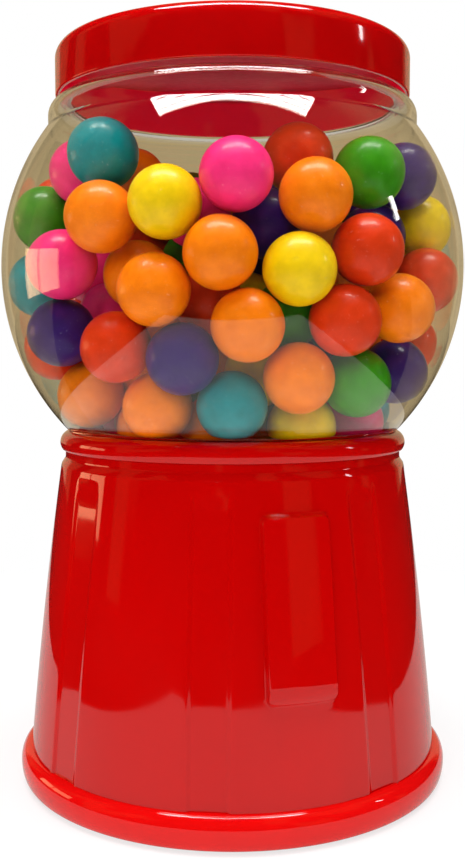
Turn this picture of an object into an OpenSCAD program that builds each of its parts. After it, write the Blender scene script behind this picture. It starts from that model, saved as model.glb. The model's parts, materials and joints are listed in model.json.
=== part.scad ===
// Gumball machine: a clear globe with a screw lid on a fluted cone base.
// The coin mechanism, the chute and its flap are at the +Y side of the base,
// and the raised plain panel is at the -Y side. Millimetres, +Z up.

/* [Globe] */
// Outer radius of the round globe
globe_r = 88.3; // [80:0.1:92]
// Wall of the globe
glass_t = 1.5; // [1:0.1:2.5]
// Radius of the support ring below the lid
ring_r = 70.3; // [69:0.1:74]
// Straight height of the support ring
ring_flat = 4; // [2:0.5:6]
// Outer radius of the threaded mouth
mouth_r = 63; // [61:0.1:64]
// Length of the spigot that stands in the base's collar
spigot_len = 11.9; // [8:0.1:12]

/* [Lid] */
// Outer radius of the lid
lid_r = 67.5; // [67:0.1:69]
// Height of the lid
lid_h = 19.5; // [17:0.5:24]
// Wall of the lid's skirt
lid_t = 1.8; // [1.4:0.1:2.2]
// Thickness of the lid's top
lid_top_t = 2.2; // [1.8:0.1:3]
// Radius of the lid's top corner
lid_corner = 5; // [3:0.5:6]
// Rise of the lid's crowned top
lid_crown = 0.8; // [0.3:0.1:1]
// Thickness of the seal in the lid
seal_t = 1.8; // [1:0.1:2.5]
// Rise of the lid in one full turn of its quick thread
thread_lead = 12; // [8:0.5:14]
// Number of thread lugs on the mouth, and in the lid
lug_count = 4; // [4]
// How far the thread lugs stand out
thread_h = 2; // [1.8:0.1:2.2]
// Gap between the support ring and the lid
lid_gap = 1.5; // [1:0.1:3]

/* [Base shell] */
// Height of the collar's top
base_h = 134.6; // [132:0.1:140]
// Radius of the collar's top, where the globe sits
seat_r = 63.9; // [63.5:0.1:64.2]
// Radius of the cone at its top
cone_top_r = 66.5; // [66.3:0.1:67.5]
// Radius of the cone at its foot
cone_foot_r = 79.4; // [78.5:0.1:80.5]
// Wall of the base shell
shell_t = 2.4; // [2:0.1:2.8]
// Radius of the rounded bead of the collar
bead_r = 4.4; // [4:0.1:4.8]
// How far the neck above the cone is drawn in
neck_in = 1; // [0.5:0.1:1.4]
// Radius of the bore that takes the globe's spigot
collar_bore_r = 62.2; // [62:0.1:62.6]
// Thickness of the deck inside the collar
deck_t = 3; // [2.5:0.1:4]

/* [Flutes and panel] */
// Bearing of the first flute on each side of the panel
flute_first = 24; // [22:0.5:26]
// Angle from one flute to the next
flute_pitch = 44; // [42:0.5:45]
// Width of a flute
flute_w = 15.8; // [12:0.2:17]
// Corner radius at the top of a flute
flute_corner = 3; // [1:0.5:6]
// Depth of a flute
flute_depth = 1; // [0.5:0.1:1.4]
// Width of the raised panel
panel_w = 25.5; // [22:0.5:28]
// Height of the raised panel
panel_h = 64; // [50:1:70]
// Distance of the panel's upper edge below the neck
panel_drop = 13; // [11:0.5:20]
// How far the panel stands out at its top
panel_out_top = 2; // [1:0.1:3]
// How far the panel stands out at its foot
panel_out_foot = 3.2; // [1:0.1:4]
// Corner radius of the raised panel
panel_corner = 3.5; // [2:0.5:8]

/* [Foot ring and bottom] */
// Widest radius of the foot ring
foot_r = 83.5; // [82.5:0.1:86]
// Radius of the foot ring's underside
foot_under_r = 81.4; // [81.2:0.1:82]
// Height of the foot ring's top
foot_h = 12.8; // [11:0.1:14]
// Height of the widest point of the foot ring
foot_bulge_z = 7.2; // [6:0.1:8]
// How far the rubber foot holds the foot ring up
foot_lift = 1; // [0.6:0.1:1.2]
// Radius of the base shell's spigot inside the foot ring
foot_spigot_r = 76.6; // [76:0.1:77]
// Thickness of the bottom plate
bottom_t = 2; // [1.6:0.1:2.4]
// Middle radius of the rubber foot
pad_ring_r = 61; // [50:1:62]
// Width of the rubber foot
pad_w = 8; // [6:0.5:9]
// Radius of the hole that the coin plug closes
plug_hole_r = 22; // [18:0.5:26]

/* [Gumballs and wheel] */
// Diameter of a gumball
ball_d = 24.6; // [23.6:0.1:24.8]
// Diameter of a pocket in the wheel
pocket_d = 26.6; // [26.4:0.1:27]
// Number of pockets in the wheel
pocket_count = 6; // [6]
// Distance of the pockets from the wheel's centre
pocket_ring_r = 37; // [36:0.5:37]
// Radius of the dispensing wheel
wheel_r = 56.4; // [56:0.1:56.6]
// Height of the dispensing wheel
wheel_h = 24.6; // [24:0.1:25]
// Number of teeth in the ring under the wheel
crown_teeth = 48; // [48]
// Depth of the tooth slots under the wheel
crown_depth = 5; // [4.8:0.1:5.5]
// Wall of the hopper
hopper_t = 2; // [1.6:0.1:2.2]
// Thickness of the hopper's floor
hopper_floor_t = 3; // [2.5:0.1:3]

/* [Coin mechanism and chute] */
// Height of the wheel's underside above the knob's shaft
shaft_drop = 6.8; // [6.8:0.1:7.1]
// Radius of the knob's shaft
shaft_r = 3; // [2.6:0.1:3]
// Number of pinion teeth
pinion_teeth = 8; // [8]
// Tip radius of the pinion
pinion_tip_r = 11.2; // [10.8:0.1:11.4]
// Width of the front plate
plate_w = 55; // [54:0.5:56]
// Height of the front plate's upper edge above the shaft
plate_over = 26.7; // [26.7:0.1:27.6]
// Distance of the front plate's lower edge below the mouth
plate_under = 10; // [8:0.5:11]
// Distance of the front plate's face from the machine's axis
plate_y = 84.5; // [84:0.5:88]
// Thickness of the front plate
plate_t = 2.5; // [2:0.1:3]
// Outer radius of the round coin housing
drum_r = 26; // [25.5:0.1:26.2]
// How far the coin housing stands out
drum_out = 8; // [7.5:0.1:10]
// Length of the coin slot
coin_slot_l = 21; // [20:0.5:24]
// Width of the coin slot
coin_slot_w = 3; // [2.4:0.1:3]
// Diameter of the knob
knob_d = 34; // [28:1:38]
// Height of the knob's grip bar
grip_h = 10; // [8:0.5:14]
// Width of the chute's mouth
mouth_w = 30; // [28:0.5:31]
// Height of the chute's mouth
mouth_h = 26; // [25:0.5:27]
// Distance of the mouth's upper edge below the shaft
mouth_under = 31.3; // [31:0.1:32]
// Slope of the chute's floor, in degrees
chute_slope = 22; // [20:0.5:24]

/* [Fits] */
// Radial clearance of a shaft in its bore
run_fit = 0.05; // [0.03:0.01:0.08]
// Gap between pieces that seat on each other
seat_fit = 0.1; // [0.05:0.01:0.2]
// Gap round a moving piece
free_gap = 0.3; // [0.2:0.05:0.4]

/* [Hidden] */
$fn = 96;

// Levels of the globe and the lid
globe_z = base_h + sqrt(globe_r * globe_r - seat_r * seat_r);
ring_z = globe_z + sqrt(globe_r * globe_r - ring_r * ring_r);
ring_round = ring_r - mouth_r - 1.2;
ring_top = ring_z + ring_flat + ring_round;
lid_z = ring_top + lid_gap;
lid_top = lid_z + lid_h;
lid_edge = lid_top - lid_crown;
rim_z = lid_edge - lid_top_t - seal_t - 2 * seat_fit;
lid_bore_r = lid_r - lid_t;
spigot_r = collar_bore_r - 2 * seat_fit;
lug_z = rim_z - 8.5;
lug_drop = 2.2;
mouth_lug_angle = 220 / lug_count;
lid_lug_angle = 112 / lug_count;

// Levels of the base
foot_z = foot_lift;
plate_z = foot_lift + 1.6;
plate_top = plate_z + bottom_t;
shell_z = plate_top + seat_fit;
neck_z = base_h - 10.6;
flute_top = neck_z - 3;
panel_high = neck_z - panel_drop;
panel_low = panel_high - panel_h;
bead_z = base_h - bead_r;
bead_at_r = cone_top_r + 0.7 - bead_r;
deck_z = base_h - spigot_len - free_gap;
cone_slope = (cone_foot_r - cone_top_r) / (neck_z - foot_h);
function cone_r(z) = cone_foot_r - cone_slope * (z - foot_h);

// Levels of the hopper and the wheel
hopper_r = wheel_r + 0.7;
hopper_out_r = hopper_r + hopper_t;
wheel_top = deck_z + free_gap;
wheel_z = wheel_top - wheel_h;
hopper_floor = wheel_z - free_gap;
hopper_z = hopper_floor - hopper_floor_t;
hopper_top = deck_z - deck_t - seat_fit;
shaft_z = wheel_z - shaft_drop;
bush_r = 6;
bolt_r = 3;
guard_z = wheel_top + free_gap;
guard_t = 1.6;
guard_cap_r = pocket_d / 2 + 2.2;
guard_dome_r = 20;
heap_floor = guard_z + guard_t + 0.2;
drop_turn = 180 / pocket_count;
drop_at = [-pocket_ring_r * sin(drop_turn), pocket_ring_r * cos(drop_turn)];
drop_hole_r = pocket_d / 2 + 0.7;
crown_in_r = pocket_ring_r + pocket_d / 2 + 1;
crown_mid_r = (crown_in_r + wheel_r) / 2;

// Screws: shank radius, head radius and head height
screw_r = 1.5;
head_r = 2.8;
head_h = 1.5;
post_r = 3.3;
ear_r = hopper_out_r + post_r + free_gap;
foot_post_r = foot_spigot_r - 6.6;

// Levels of the front plate and the chute's mouth
mouth_high = shaft_z - mouth_under;
mouth_low = mouth_high - mouth_h;
plate_high = shaft_z + plate_over;
plate_low = mouth_low - plate_under;
// The coin mechanism along its shaft, as distances from the machine's axis
plate_back = plate_y - plate_t;
drum_y = plate_y + drum_out;
drum_wall = 2;
drum_bore_r = drum_r - drum_wall;
frame_t = 2.4;
frame_w = plate_w + 0.4 + 2 * frame_t;
frame_low = plate_low - 0.2 - frame_t;
frame_high = plate_high + 0.2 + frame_t;
frame_corner = 6;
pinion_y = crown_in_r + 0.4;
pinion_w = wheel_r - crown_in_r - 0.6;
bracket_y = hopper_out_r + 0.8;
bracket_t = 2;
bracket_half = 21;
bracket_low = shaft_z - 9;
bracket_high = shaft_z + 15;
clip_y = bracket_y + bracket_t + free_gap;
boss_l = 6;
ratchet_y = plate_back - 8;
ratchet_w = 3;
ratchet_r = 14;
ratchet_count = 12;
carrier_y = plate_y + free_gap;
carrier_w = drum_out - drum_wall - 2 * free_gap;
carrier_r = 14;
coin_r = 9.7;
coin_y = carrier_y + carrier_w - coin_slot_w;
knob_y = drum_y + free_gap;
knob_base_h = 4;
knob_top_y = knob_y + knob_base_h + grip_h;
shaft_end_y = knob_y + knob_base_h + grip_h / 2;
flat_x = 0.75 * shaft_r;
plate_screw_x = plate_w / 2 - 4.2;
plate_screw_z = [plate_low + 4.2, plate_high - 4.2];
bracket_screw_x = bracket_half + 3.4;

// The chute and its flap
chute_t = 2;
chute_front = plate_back - seat_fit;
chute_back = 15;
chute_wall_h = 24;
// the trough is this much wider and higher than the front that it runs into
chute_step = 0.4;
roof_len = 17;
roof_peak = 31;
chute_left = -drop_hole_r - 2 + drop_at[0];
flap_t = 2;
barrel_r = 2.2;
pin_r = 1.2;
hinge_z = mouth_high + barrel_r;
hinge_y = plate_y + free_gap + barrel_r;
flap_w = mouth_w + 3;
lug_w = 3;
flange_w = mouth_w + 18;
chute_screw_x = mouth_w / 2 + 6;
chute_screw_z = mouth_high - 12;

// ---- Gumballs -------------------------------------------------------------
// Colours by number: 0 red, 1 orange, 2 yellow, 3 green, 4 teal, 5 purple, 6 pink
ball_r = ball_d / 2;
ball_gap = 0.06;
wall_limit = globe_r - glass_t - ball_r - ball_gap;
// Balls at the glass: [bearing from the panel, latitude, gap to the glass, colour]
glass_balls = [
    [-63, 30, 0, 4], [-36, 14, 0, 2], [-17, 21, 0, 6], [4, 16, 0, 1],
    [25, 24, 0, 3], [54, 25, 0, 5], [66, 14, 0, 2], [-55, 11, 0, 1],
    [-86, 26, 5, 6], [-96, 13, 0, 3], [-114, 20, 0, 0], [-70, 0, 0, 6],
    [-38, -9, 0, 1], [-21, 1, 0, 1], [-1, -3, 0, 2], [19, 2, 0, 0],
    [58, -3, 0, 0], [-98, -5, 0, 4], [-79, -19, 0, 5], [-53, -23, 0, 0],
    [-14, -17, 0, 1], [12, -17, 0, 0], [35, -12, 0, 1], [74, -22, 0, 0],
    [-99, -23, 0, 0], [-32, -28, 0, 5], [1, -32, 0, 1], [26, -34, 0, 3],
    [52, -31, 0, 5], [-80, -40, 0, 1], [-45, -41, 0, 1], [-18, -42, 0, 4],
    [13, -50, 0, 2], [50, -49, 0, 6], [-104, -38, 0, 0],
    // balls that show in the gaps between those
    [-4, 15, 22, 5], [6, -20, 22, 3], [-28, -16, 25, 0], [-57, -4, 22, 1],
    [50, 12, 18, 5]];
// Balls on top of the heap, before they settle: [x, y, colour]
heap_balls = [[-32, 14, 1], [6, -2, 5], [27, 4, 0], [40, 20, 1], [-8, 28, 3],
    [18, 36, 1], [-30, 42, 0], [-50, 0, 1]];
heap_start = globe_z + 60;
// Colours of the balls that fill the heap, in turn
fill_colours = [1, 0, 2, 5, 1, 5, 0, 4, 1, 6, 3, 0, 2, 1, 3, 5, 4];
layer_h = 0.9 * ball_d;
row_gap = 1.05 * ball_d;
fill_top = globe_z + 57;
shake = rands(-1.5, 1.5, 3000, 7);
// What the balls keep clear of: [centre, radius]
guard_dome_z = guard_z - sqrt(guard_dome_r * guard_dome_r - guard_cap_r * guard_cap_r);
obstacles = [[[drop_at[0], drop_at[1], guard_dome_z], guard_dome_r],
    [[0, 0, guard_z + 2], 8.5]];
// Passes of settling: [drop in a step, steps, pull to the places at the glass]
settle_plan = [[0.1, 15, 0.6], [0.6, 20, 0.6], [0.6, 20, 0.6], [0.6, 20, 0.6],
    [0.4, 20, 0.42], [0.2, 20, 0.4], [0.05, 30, 0.3], [0, 60, 0.2], [0, 60, 0.1],
    [0, 60, 0.05], [0, 60, 0], [0, 60, 0]];

function at_glass(b) = let(r = wall_limit - b[2])
    [r * cos(b[1]) * sin(b[0]), -r * cos(b[1]) * cos(b[0]), globe_z + r * sin(b[1])];
function seeds() = [for (b = glass_balls) at_glass(b)];
function heap_top() = [for (h = heap_balls) [h[0], h[1], heap_start]];
function clear_of(p, others) = min([for (s = others) norm(s - p)]) > ball_d;
function free_of_obstacles(p) = min([for (o = obstacles) norm(p - o[0]) - o[1]]) > ball_r;
function fill_balls(taken) = [for (k = [0:6]) let(z = heap_floor + ball_r + k * layer_h)
    if (z < fill_top)
        for (i = [-4:4], j = [-4:4])
            let(n = 3 * ((k * 9 + i + 4) * 9 + j + 4),
                p = [(i + (j % 2 == 0 ? 0 : 0.5) + (k % 2) * 0.5) * row_gap + shake[n],
                    (j + (k % 2) * 0.58) * row_gap * 0.866 + shake[n + 1], z])
            if (norm(p - [0, 0, globe_z]) < wall_limit + 4
                && free_of_obstacles(p) && clear_of(p, taken)) p];

function add_up(v) = len(v) == 0 ? [0, 0, 0] : [for (e = v) 1] * v;
function push(p, q, reach) = let(v = p - q, l = norm(v)) v * (reach - l) / (2 * l);
function pushes(p, others, reach) = [for (q = others) if (norm(p - q) < reach) push(p, q, reach)];
function off_obstacle(p, o) = let(v = p - o[0], l = norm(v), reach = o[1] + ball_r + ball_gap)
    l < reach ? o[0] + v * reach / l : p;
function in_globe(p) = let(c = [0, 0, globe_z], v = p - c, l = norm(v))
    l > wall_limit ? c + v * wall_limit / l : p;
function on_floor(p) = [p[0], p[1], max(p[2], heap_floor + ball_r + ball_gap)];
function keep_in(p) = in_globe(off_obstacle(off_obstacle(on_floor(p), obstacles[0]), obstacles[1]));
function pull(i, p, seed, pass) = i < len(seed) ? pass[2] * (seed[i] - p) : [0, 0, -pass[0]];
function step(pts, near, seed, pass) = [for (i = [0:len(pts) - 1]) keep_in(pts[i]
    + add_up(pushes(pts[i], [for (j = near[i]) pts[j]], ball_d + ball_gap))
    + pull(i, pts[i], seed, pass))];
function neighbours(pts) = [for (i = [0:len(pts) - 1]) [for (j = [0:len(pts) - 1])
    if (i != j && norm(pts[i] - pts[j]) < 1.45 * ball_d) j]];
function run(pts, near, seed, pass, n) = n == 0 ? pts
    : run(step(pts, near, seed, pass), near, seed, pass, n - 1);
function settle(pts, seed, i = 0) = i == len(settle_plan) ? pts
    : settle(run(pts, neighbours(pts), seed, settle_plan[i], settle_plan[i][1]), seed, i + 1);
function settled() = let(s = seeds(), top = concat(s, heap_top()))
    settle(concat(top, fill_balls(top)), s);
function ball_colour(i) = let(g = len(glass_balls), h = g + len(heap_balls))
    i < g ? glass_balls[i][3] : i < h ? heap_balls[i - g][2]
    : fill_colours[(i - h) % len(fill_colours)];

module gumballs(colour) {
    places = settled();
    for (i = [0:len(places) - 1])
        if (ball_colour(i) == colour)
            translate(places[i]) sphere(d = ball_d);
}

// ---- Shared shapes --------------------------------------------------------
// Rounded rectangle, standing on low, centred on x
module rounded_window(w, low, high, r) {
    translate([-w / 2 + r, low]) square([w - 2 * r, high - low]);
    translate([-w / 2, low + r]) square([w, high - low - 2 * r]);
    for (x = [-w / 2 + r, w / 2 - r], z = [low + r, high - r])
        translate([x, z]) circle(r);
}

// Extrudes a drawing of x and z along +Y, from y0 to y1
module along_y(y0, y1) {
    translate([0, y1, 0]) rotate([90, 0, 0]) linear_extrude(y1 - y0) children();
}

// A cylinder along +Y, from y0 to y1, at height z
module rod_y(r, y0, y1, x = 0, z = shaft_z) {
    translate([x, y0, z]) rotate([-90, 0, 0]) cylinder(r = r, h = y1 - y0);
}

// Puts copies round the axis
module round_copies(n, first = 0) {
    for (i = [0:n - 1]) rotate(first + i * 360 / n) children();
}

// A screw that points up, with its head below the level z
module screw_up(z, length) {
    translate([0, 0, z]) cylinder(r = screw_r, h = length);
    difference() {
        translate([0, 0, z - head_h]) cylinder(r = head_r, h = head_h);
        translate([0, 0, z - head_h - 0.01]) cross_slot();
    }
}

// A screw that points to -Y, with its head outside the level y
module screw_in(x, z, y, length) {
    rod_y(screw_r, y - length, y + 0.01, x, z);
    difference() {
        rod_y(head_r, y, y + head_h, x, z);
        translate([x, y + head_h + 0.01, z]) rotate([90, 0, 0]) cross_slot();
    }
}

// A screw that points to +Y, with its head behind the level y
module screw_out(x, z, y, length) {
    translate([0, 2 * y, 0]) mirror([0, 1, 0]) screw_in(x, z, y, length);
}

module cross_slot() {
    for (a = [0, 90]) rotate(a) translate([-1.5, -0.35, 0]) cube([3, 0.7, 0.9]);
}

// Lugs of a quick thread, from root_r to tip_r, each leaning with the thread's lead
module thread_lugs(root_r, tip_r, z, angle) {
    lean = atan(thread_lead / (PI * (root_r + tip_r)));
    round_copies(lug_count) translate([0, 0, z]) rotate([lean, 0, 0]) rotate(-angle / 2)
        rotate_extrude(angle = angle)
            polygon([[root_r, -1.3], [tip_r, -0.6], [tip_r, 0.6], [root_r, 1.3]]);
}

// ---- Lid and globe --------------------------------------------------------
module lid_section() {
    side_h = lid_edge - lid_z;
    flat_r = lid_r - lid_corner;
    translate([0, lid_z]) square([lid_r, side_h - lid_corner]);
    translate([0, lid_z]) square([flat_r, side_h]);
    intersection() {
        translate([flat_r, lid_edge - lid_corner]) circle(lid_corner);
        translate([0, lid_z]) square([lid_r, side_h]);
    }
    polygon([[0, lid_edge - 0.01], [flat_r, lid_edge - 0.01], [0.65 * flat_r,
        lid_edge + 0.58 * lid_crown], [0.3 * flat_r, lid_edge + 0.91 * lid_crown],
        [0, lid_top]]);
}

// The flat lid has a crowned top, a rounded corner and thread lugs inside its skirt
module lid() color("#D4100A") {
    rotate_extrude() difference() {
        lid_section();
        translate([-1, lid_z - 1])
            square([lid_bore_r + 1, lid_edge - lid_top_t - lid_z + 1]);
    }
    thread_lugs(lid_bore_r + 0.3, lid_bore_r - thread_h, lug_z - lug_drop, lid_lug_angle);
}

module lid_seal() color("#E9E6DE")
    translate([0, 0, rim_z + seat_fit]) cylinder(r = lid_bore_r - 1.2, h = seal_t);

// The globe's outline, drawn in by d
module globe_outline(d) {
    intersection() {
        translate([0, globe_z]) circle(globe_r - d);
        translate([0, base_h + d]) square([globe_r, ring_z - base_h + 2 - d]);
    }
    translate([0, ring_z - 2]) square([ring_r - d, ring_flat + 2]);
    translate([0, ring_z + ring_flat - 1]) square([mouth_r + 1.2 - d, ring_round + 1 - d]);
    intersection() {
        translate([ring_r - ring_round, ring_z + ring_flat]) circle(ring_round - d);
        translate([0, ring_z]) square([ring_r, ring_top]);
    }
}

module globe() color("#DDE6E2", 0.35) {
    inner_r = spigot_r - glass_t;
    rise = globe_z - base_h - glass_t;
    inner_foot_r = sqrt(pow(globe_r - glass_t, 2) - rise * rise);
    rotate_extrude() difference() {
        union() {
            globe_outline(0);
            translate([0, deck_z + free_gap]) square([spigot_r, spigot_len + 0.5]);
            translate([0, ring_top - 1]) square([mouth_r, rim_z - ring_top + 1]);
        }
        globe_outline(glass_t);
        polygon([[-1, deck_z], [inner_r, deck_z], [inner_r, base_h],
            [inner_foot_r, base_h + glass_t + 0.01], [-1, base_h + glass_t + 0.01]]);
        translate([-1, ring_top - 3]) square([mouth_r - glass_t + 1, rim_z]);
    }
    thread_lugs(mouth_r - 0.3, mouth_r + thread_h, lug_z, mouth_lug_angle);
}

// ---- Base shell -----------------------------------------------------------
module shell_section() {
    difference() {
        union() {
            polygon([[0, shell_z], [foot_spigot_r, shell_z], [foot_spigot_r, foot_h],
                [cone_foot_r, foot_h], [cone_top_r, neck_z], [cone_top_r - neck_in, neck_z + 1],
                [cone_top_r - neck_in, bead_z], [0, bead_z]]);
            translate([0, bead_z]) square([bead_at_r, bead_r]);
            translate([bead_at_r, bead_z]) circle(bead_r);
        }
        polygon([[-1, shell_z - 1], [foot_spigot_r - shell_t, shell_z - 1],
            [foot_spigot_r - shell_t, foot_h + shell_t],
            [cone_r(foot_h + shell_t) - shell_t, foot_h + shell_t],
            [cone_r(deck_z - deck_t) - shell_t, deck_z - deck_t], [-1, deck_z - deck_t]]);
        translate([-1, deck_z - deck_t - 1]) square([hopper_r + 1, 20]);
        translate([-1, deck_z]) square([collar_bore_r + 1, 20]);
    }
}

// The solid cone, d proud of the shell's face
module cone_solid(d_foot, d_top) {
    translate([0, 0, foot_h]) cylinder(r1 = cone_foot_r + d_foot, r2 = cone_top_r + d_top,
        h = neck_z - foot_h);
}

// One flute, as a block that faces -Y; it ends below the cone's foot, where nothing is cut
module flute_cutter() {
    rotate([90, 0, 0]) translate([0, 0, 50]) linear_extrude(cone_foot_r - 40)
        rounded_window(flute_w, foot_h - 7, flute_top, flute_corner);
}

module raised_panel() {
    intersection() {
        rotate([90, 0, 0]) linear_extrude(cone_foot_r + 10)
            rounded_window(panel_w, panel_low, panel_high, panel_corner);
        difference() {
            slope = (panel_out_foot - panel_out_top) / (panel_high - panel_low);
            cone_solid(panel_out_foot + slope * (panel_low - foot_h),
                panel_out_top - slope * (neck_z - panel_high));
            translate([0, 0, foot_h - 1]) cylinder(r1 = cone_r(foot_h - 1) - 1,
                r2 = cone_r(neck_z + 1) - 1, h = neck_z - foot_h + 2);
        }
    }
}

module mech_frame() {
    difference() {
        along_y(40, plate_y)
            rounded_window(frame_w, frame_low, frame_high, frame_corner);
        translate([0, 0, foot_h - 1]) cylinder(r1 = cone_r(foot_h - 1) - shell_t,
            r2 = cone_r(neck_z + 1) - shell_t, h = neck_z - foot_h + 2);
    }
}

// The inside of the housing, with a corner block for each of the plate's screws
module mech_opening() {
    w = frame_w - 2 * frame_t;
    low = frame_low + frame_t;
    high = frame_high - frame_t;
    block = w / 2 - plate_screw_x + post_r;
    along_y(plate_back - seat_fit, plate_y + 1)
        rounded_window(w, low, high, frame_corner - frame_t);
    along_y(30, plate_back - seat_fit) {
        translate([-w / 2 + block, low]) square([w - 2 * block, high - low]);
        translate([-w / 2, low + block]) square([w, high - low - 2 * block]);
    }
}

module base_shell() color("#D4100A") {
    difference() {
        union() {
            difference() {
                rotate_extrude() shell_section();
                difference() {
                    // three flutes on each side; none beside the coin mechanism
                    for (side = [-1, 1], i = [0:2])
                        rotate(side * (flute_first + i * flute_pitch)) flute_cutter();
                    translate([0, 0, foot_h - 8]) cylinder(
                        r1 = cone_r(foot_h - 8) - flute_depth,
                        r2 = cone_r(neck_z + 1) - flute_depth, h = neck_z - foot_h + 9);
                }
            }
            raised_panel();
            mech_frame();
        }
        mech_opening();
        for (x = [-1, 1], z = plate_screw_z)
            rod_y(screw_r, plate_back - 10, plate_back, x * plate_screw_x, z);
    }
    round_copies(4, 45) translate([ear_r, 0, 0]) {
        difference() {
            translate([0, 0, hopper_floor + seat_fit])
                cylinder(r = post_r, h = deck_z - deck_t - hopper_floor);
            translate([0, 0, hopper_floor - 1]) cylinder(r = screw_r, h = 9);
        }
    }
    round_copies(4, 45) difference() {
        union() {
            translate([foot_post_r, 0, shell_z]) cylinder(r = post_r + 0.5, h = 18);
            translate([foot_post_r, -1.2, shell_z])
                cube([foot_spigot_r - foot_post_r - 1, 2.4, 10]);
        }
        translate([foot_post_r, 0, shell_z - 1]) cylinder(r = screw_r, h = 12);
    }
}

// ---- Foot ring and bottom -------------------------------------------------
module foot_ring() color("#E8180F") difference() {
    rotate_extrude() difference() {
        upper = foot_h - foot_bulge_z;
        lower = foot_bulge_z - foot_z;
        in_r = cone_foot_r;
        polygon(concat(
            [[foot_spigot_r + seat_fit, foot_z], [foot_under_r, foot_z]],
            [for (a = [-80:10:0]) [foot_under_r + (foot_r - foot_under_r) * cos(a),
                foot_bulge_z + lower * sin(a)]],
            [for (a = [10:10:90]) [in_r + (foot_r - in_r) * cos(a),
                foot_bulge_z + upper * sin(a)]],
            [[foot_spigot_r + seat_fit, foot_h]]));
        square([foot_under_r - 1.6, plate_top + seat_fit]);
    }
    // room for the housing of the coin mechanism, where it reaches down this far
    if (frame_low < foot_h + seat_fit)
        along_y(40, plate_y + 1) rounded_window(frame_w + 2 * seat_fit,
            frame_low - seat_fit, frame_high, frame_corner);
}

module bottom_plate() color("#2B2B2D")
    difference() {
        translate([0, 0, plate_z]) cylinder(r = foot_under_r - 1.8, h = bottom_t);
        translate([0, 0, plate_z - 1]) cylinder(r = plug_hole_r, h = 5);
        plug_lugs(plate_z - 1, 5, 60, 0.4);
        round_copies(4, 45) translate([foot_post_r, 0, plate_z - 1])
            cylinder(r = screw_r + 0.1, h = 5);
    }

module base_screws() color("#B9BCC0")
    round_copies(4, 45) translate([foot_post_r, 0, 0]) screw_up(plate_z, 12);

// One ring of rubber that the machine stands on
module rubber_foot() color("#1E1E1F")
    difference() {
        cylinder(r = pad_ring_r + pad_w / 2, h = plate_z);
        translate([0, 0, -1]) cylinder(r = pad_ring_r - pad_w / 2, h = plate_z + 2);
    }

// Bayonet lugs of the coin plug, from height z and h high
module plug_lugs(z, h, turn, gap) {
    for (a = [0, 180]) rotate(a + turn) translate([0, -4 - gap, z])
        intersection() {
            cube([plug_hole_r + 4, 8 + 2 * gap, h]);
            cylinder(r = plug_hole_r + 2.5 + gap, h = 2 * h, center = true);
            translate([plug_hole_r - 3, 0, 0]) cube([10, 8 + 2 * gap, h]);
        }
}

module coin_plug() color("#1E1E1F")
    difference() {
        union() {
            translate([0, 0, foot_lift + 0.2])
                cylinder(r = plug_hole_r + 4, h = plate_z - foot_lift - 0.2 - seat_fit);
            translate([0, 0, foot_lift + 0.2])
                cylinder(r = plug_hole_r - free_gap, h = plate_top - foot_lift + 1.8);
            plug_lugs(plate_top + seat_fit, 1.6, 0, 0);
        }
        translate([0, 0, plate_z + 1.8]) cylinder(r = plug_hole_r - 2.3, h = 10);
        for (x = [-11, 3]) translate([x, -12, foot_lift]) cube([8, 24, 1.9]);
    }

// ---- Hopper and wheel -----------------------------------------------------
module hopper() color("#E9E6DE")
    difference() {
        union() {
            translate([0, 0, hopper_z]) cylinder(r = hopper_out_r, h = hopper_top - hopper_z);
            round_copies(4, 45) {
                translate([ear_r, 0, hopper_z]) cylinder(r = post_r, h = hopper_floor_t);
                translate([hopper_r, -post_r, hopper_z])
                    cube([ear_r - hopper_r, 2 * post_r, hopper_floor_t]);
            }
        }
        translate([0, 0, hopper_floor]) cylinder(r = hopper_r, h = 40);
        translate([drop_at[0], drop_at[1], hopper_z - 1]) cylinder(r = drop_hole_r, h = 6);
        translate([0, 0, hopper_z - 1]) cylinder(r = bolt_r + run_fit, h = 6);
        translate([-13, crown_in_r - 0.2, hopper_z - 1])
            cube([26, hopper_r - crown_in_r - 0.1, hopper_floor_t + 2]);
        round_copies(4, 45) translate([ear_r, 0, hopper_z - 1])
            cylinder(r = screw_r + 0.1, h = 6);
    }

module hopper_screws() color("#B9BCC0")
    round_copies(4, 45) translate([ear_r, 0, 0]) screw_up(hopper_z, 9);

module dispensing_wheel() color("#F2EFE6")
    difference() {
        translate([0, 0, wheel_z]) cylinder(r = wheel_r, h = wheel_h);
        translate([0, 0, wheel_z - 1]) cylinder(r = bush_r + run_fit, h = wheel_h + 2);
        round_copies(pocket_count, 90 + drop_turn)
            translate([pocket_ring_r, 0, wheel_z - 1]) cylinder(r = pocket_d / 2, h = wheel_h + 2);
        // hollow between the hub and the pockets
        translate([0, 0, wheel_z - 1]) difference() {
            cylinder(r = pocket_ring_r - pocket_d / 2 - 2, h = wheel_h - 2);
            cylinder(r = bush_r + 3, h = wheel_h);
        }
        slot = 0.6 * 2 * PI * crown_mid_r / crown_teeth;
        round_copies(crown_teeth, 90) translate([crown_in_r, -slot / 2, wheel_z - 1])
            cube([20, slot, crown_depth + 1]);
    }

// The gumballs in the wheel: the pocket over the drop hole has let its gumball go
module pocket_gumballs() color("#F58A1F")
    for (i = [1:pocket_count - 1])
        rotate(90 + drop_turn + i * 360 / pocket_count)
            translate([pocket_ring_r, 0, hopper_floor + 0.15 + ball_r]) sphere(d = ball_d);

module wheel_bush() color("#C9A24A")
    difference() {
        translate([0, 0, hopper_floor + seat_fit / 2])
            cylinder(r = bush_r, h = guard_z - hopper_floor - seat_fit);
        translate([0, 0, hopper_floor - 1]) cylinder(r = bolt_r + run_fit, h = 40);
    }

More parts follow.
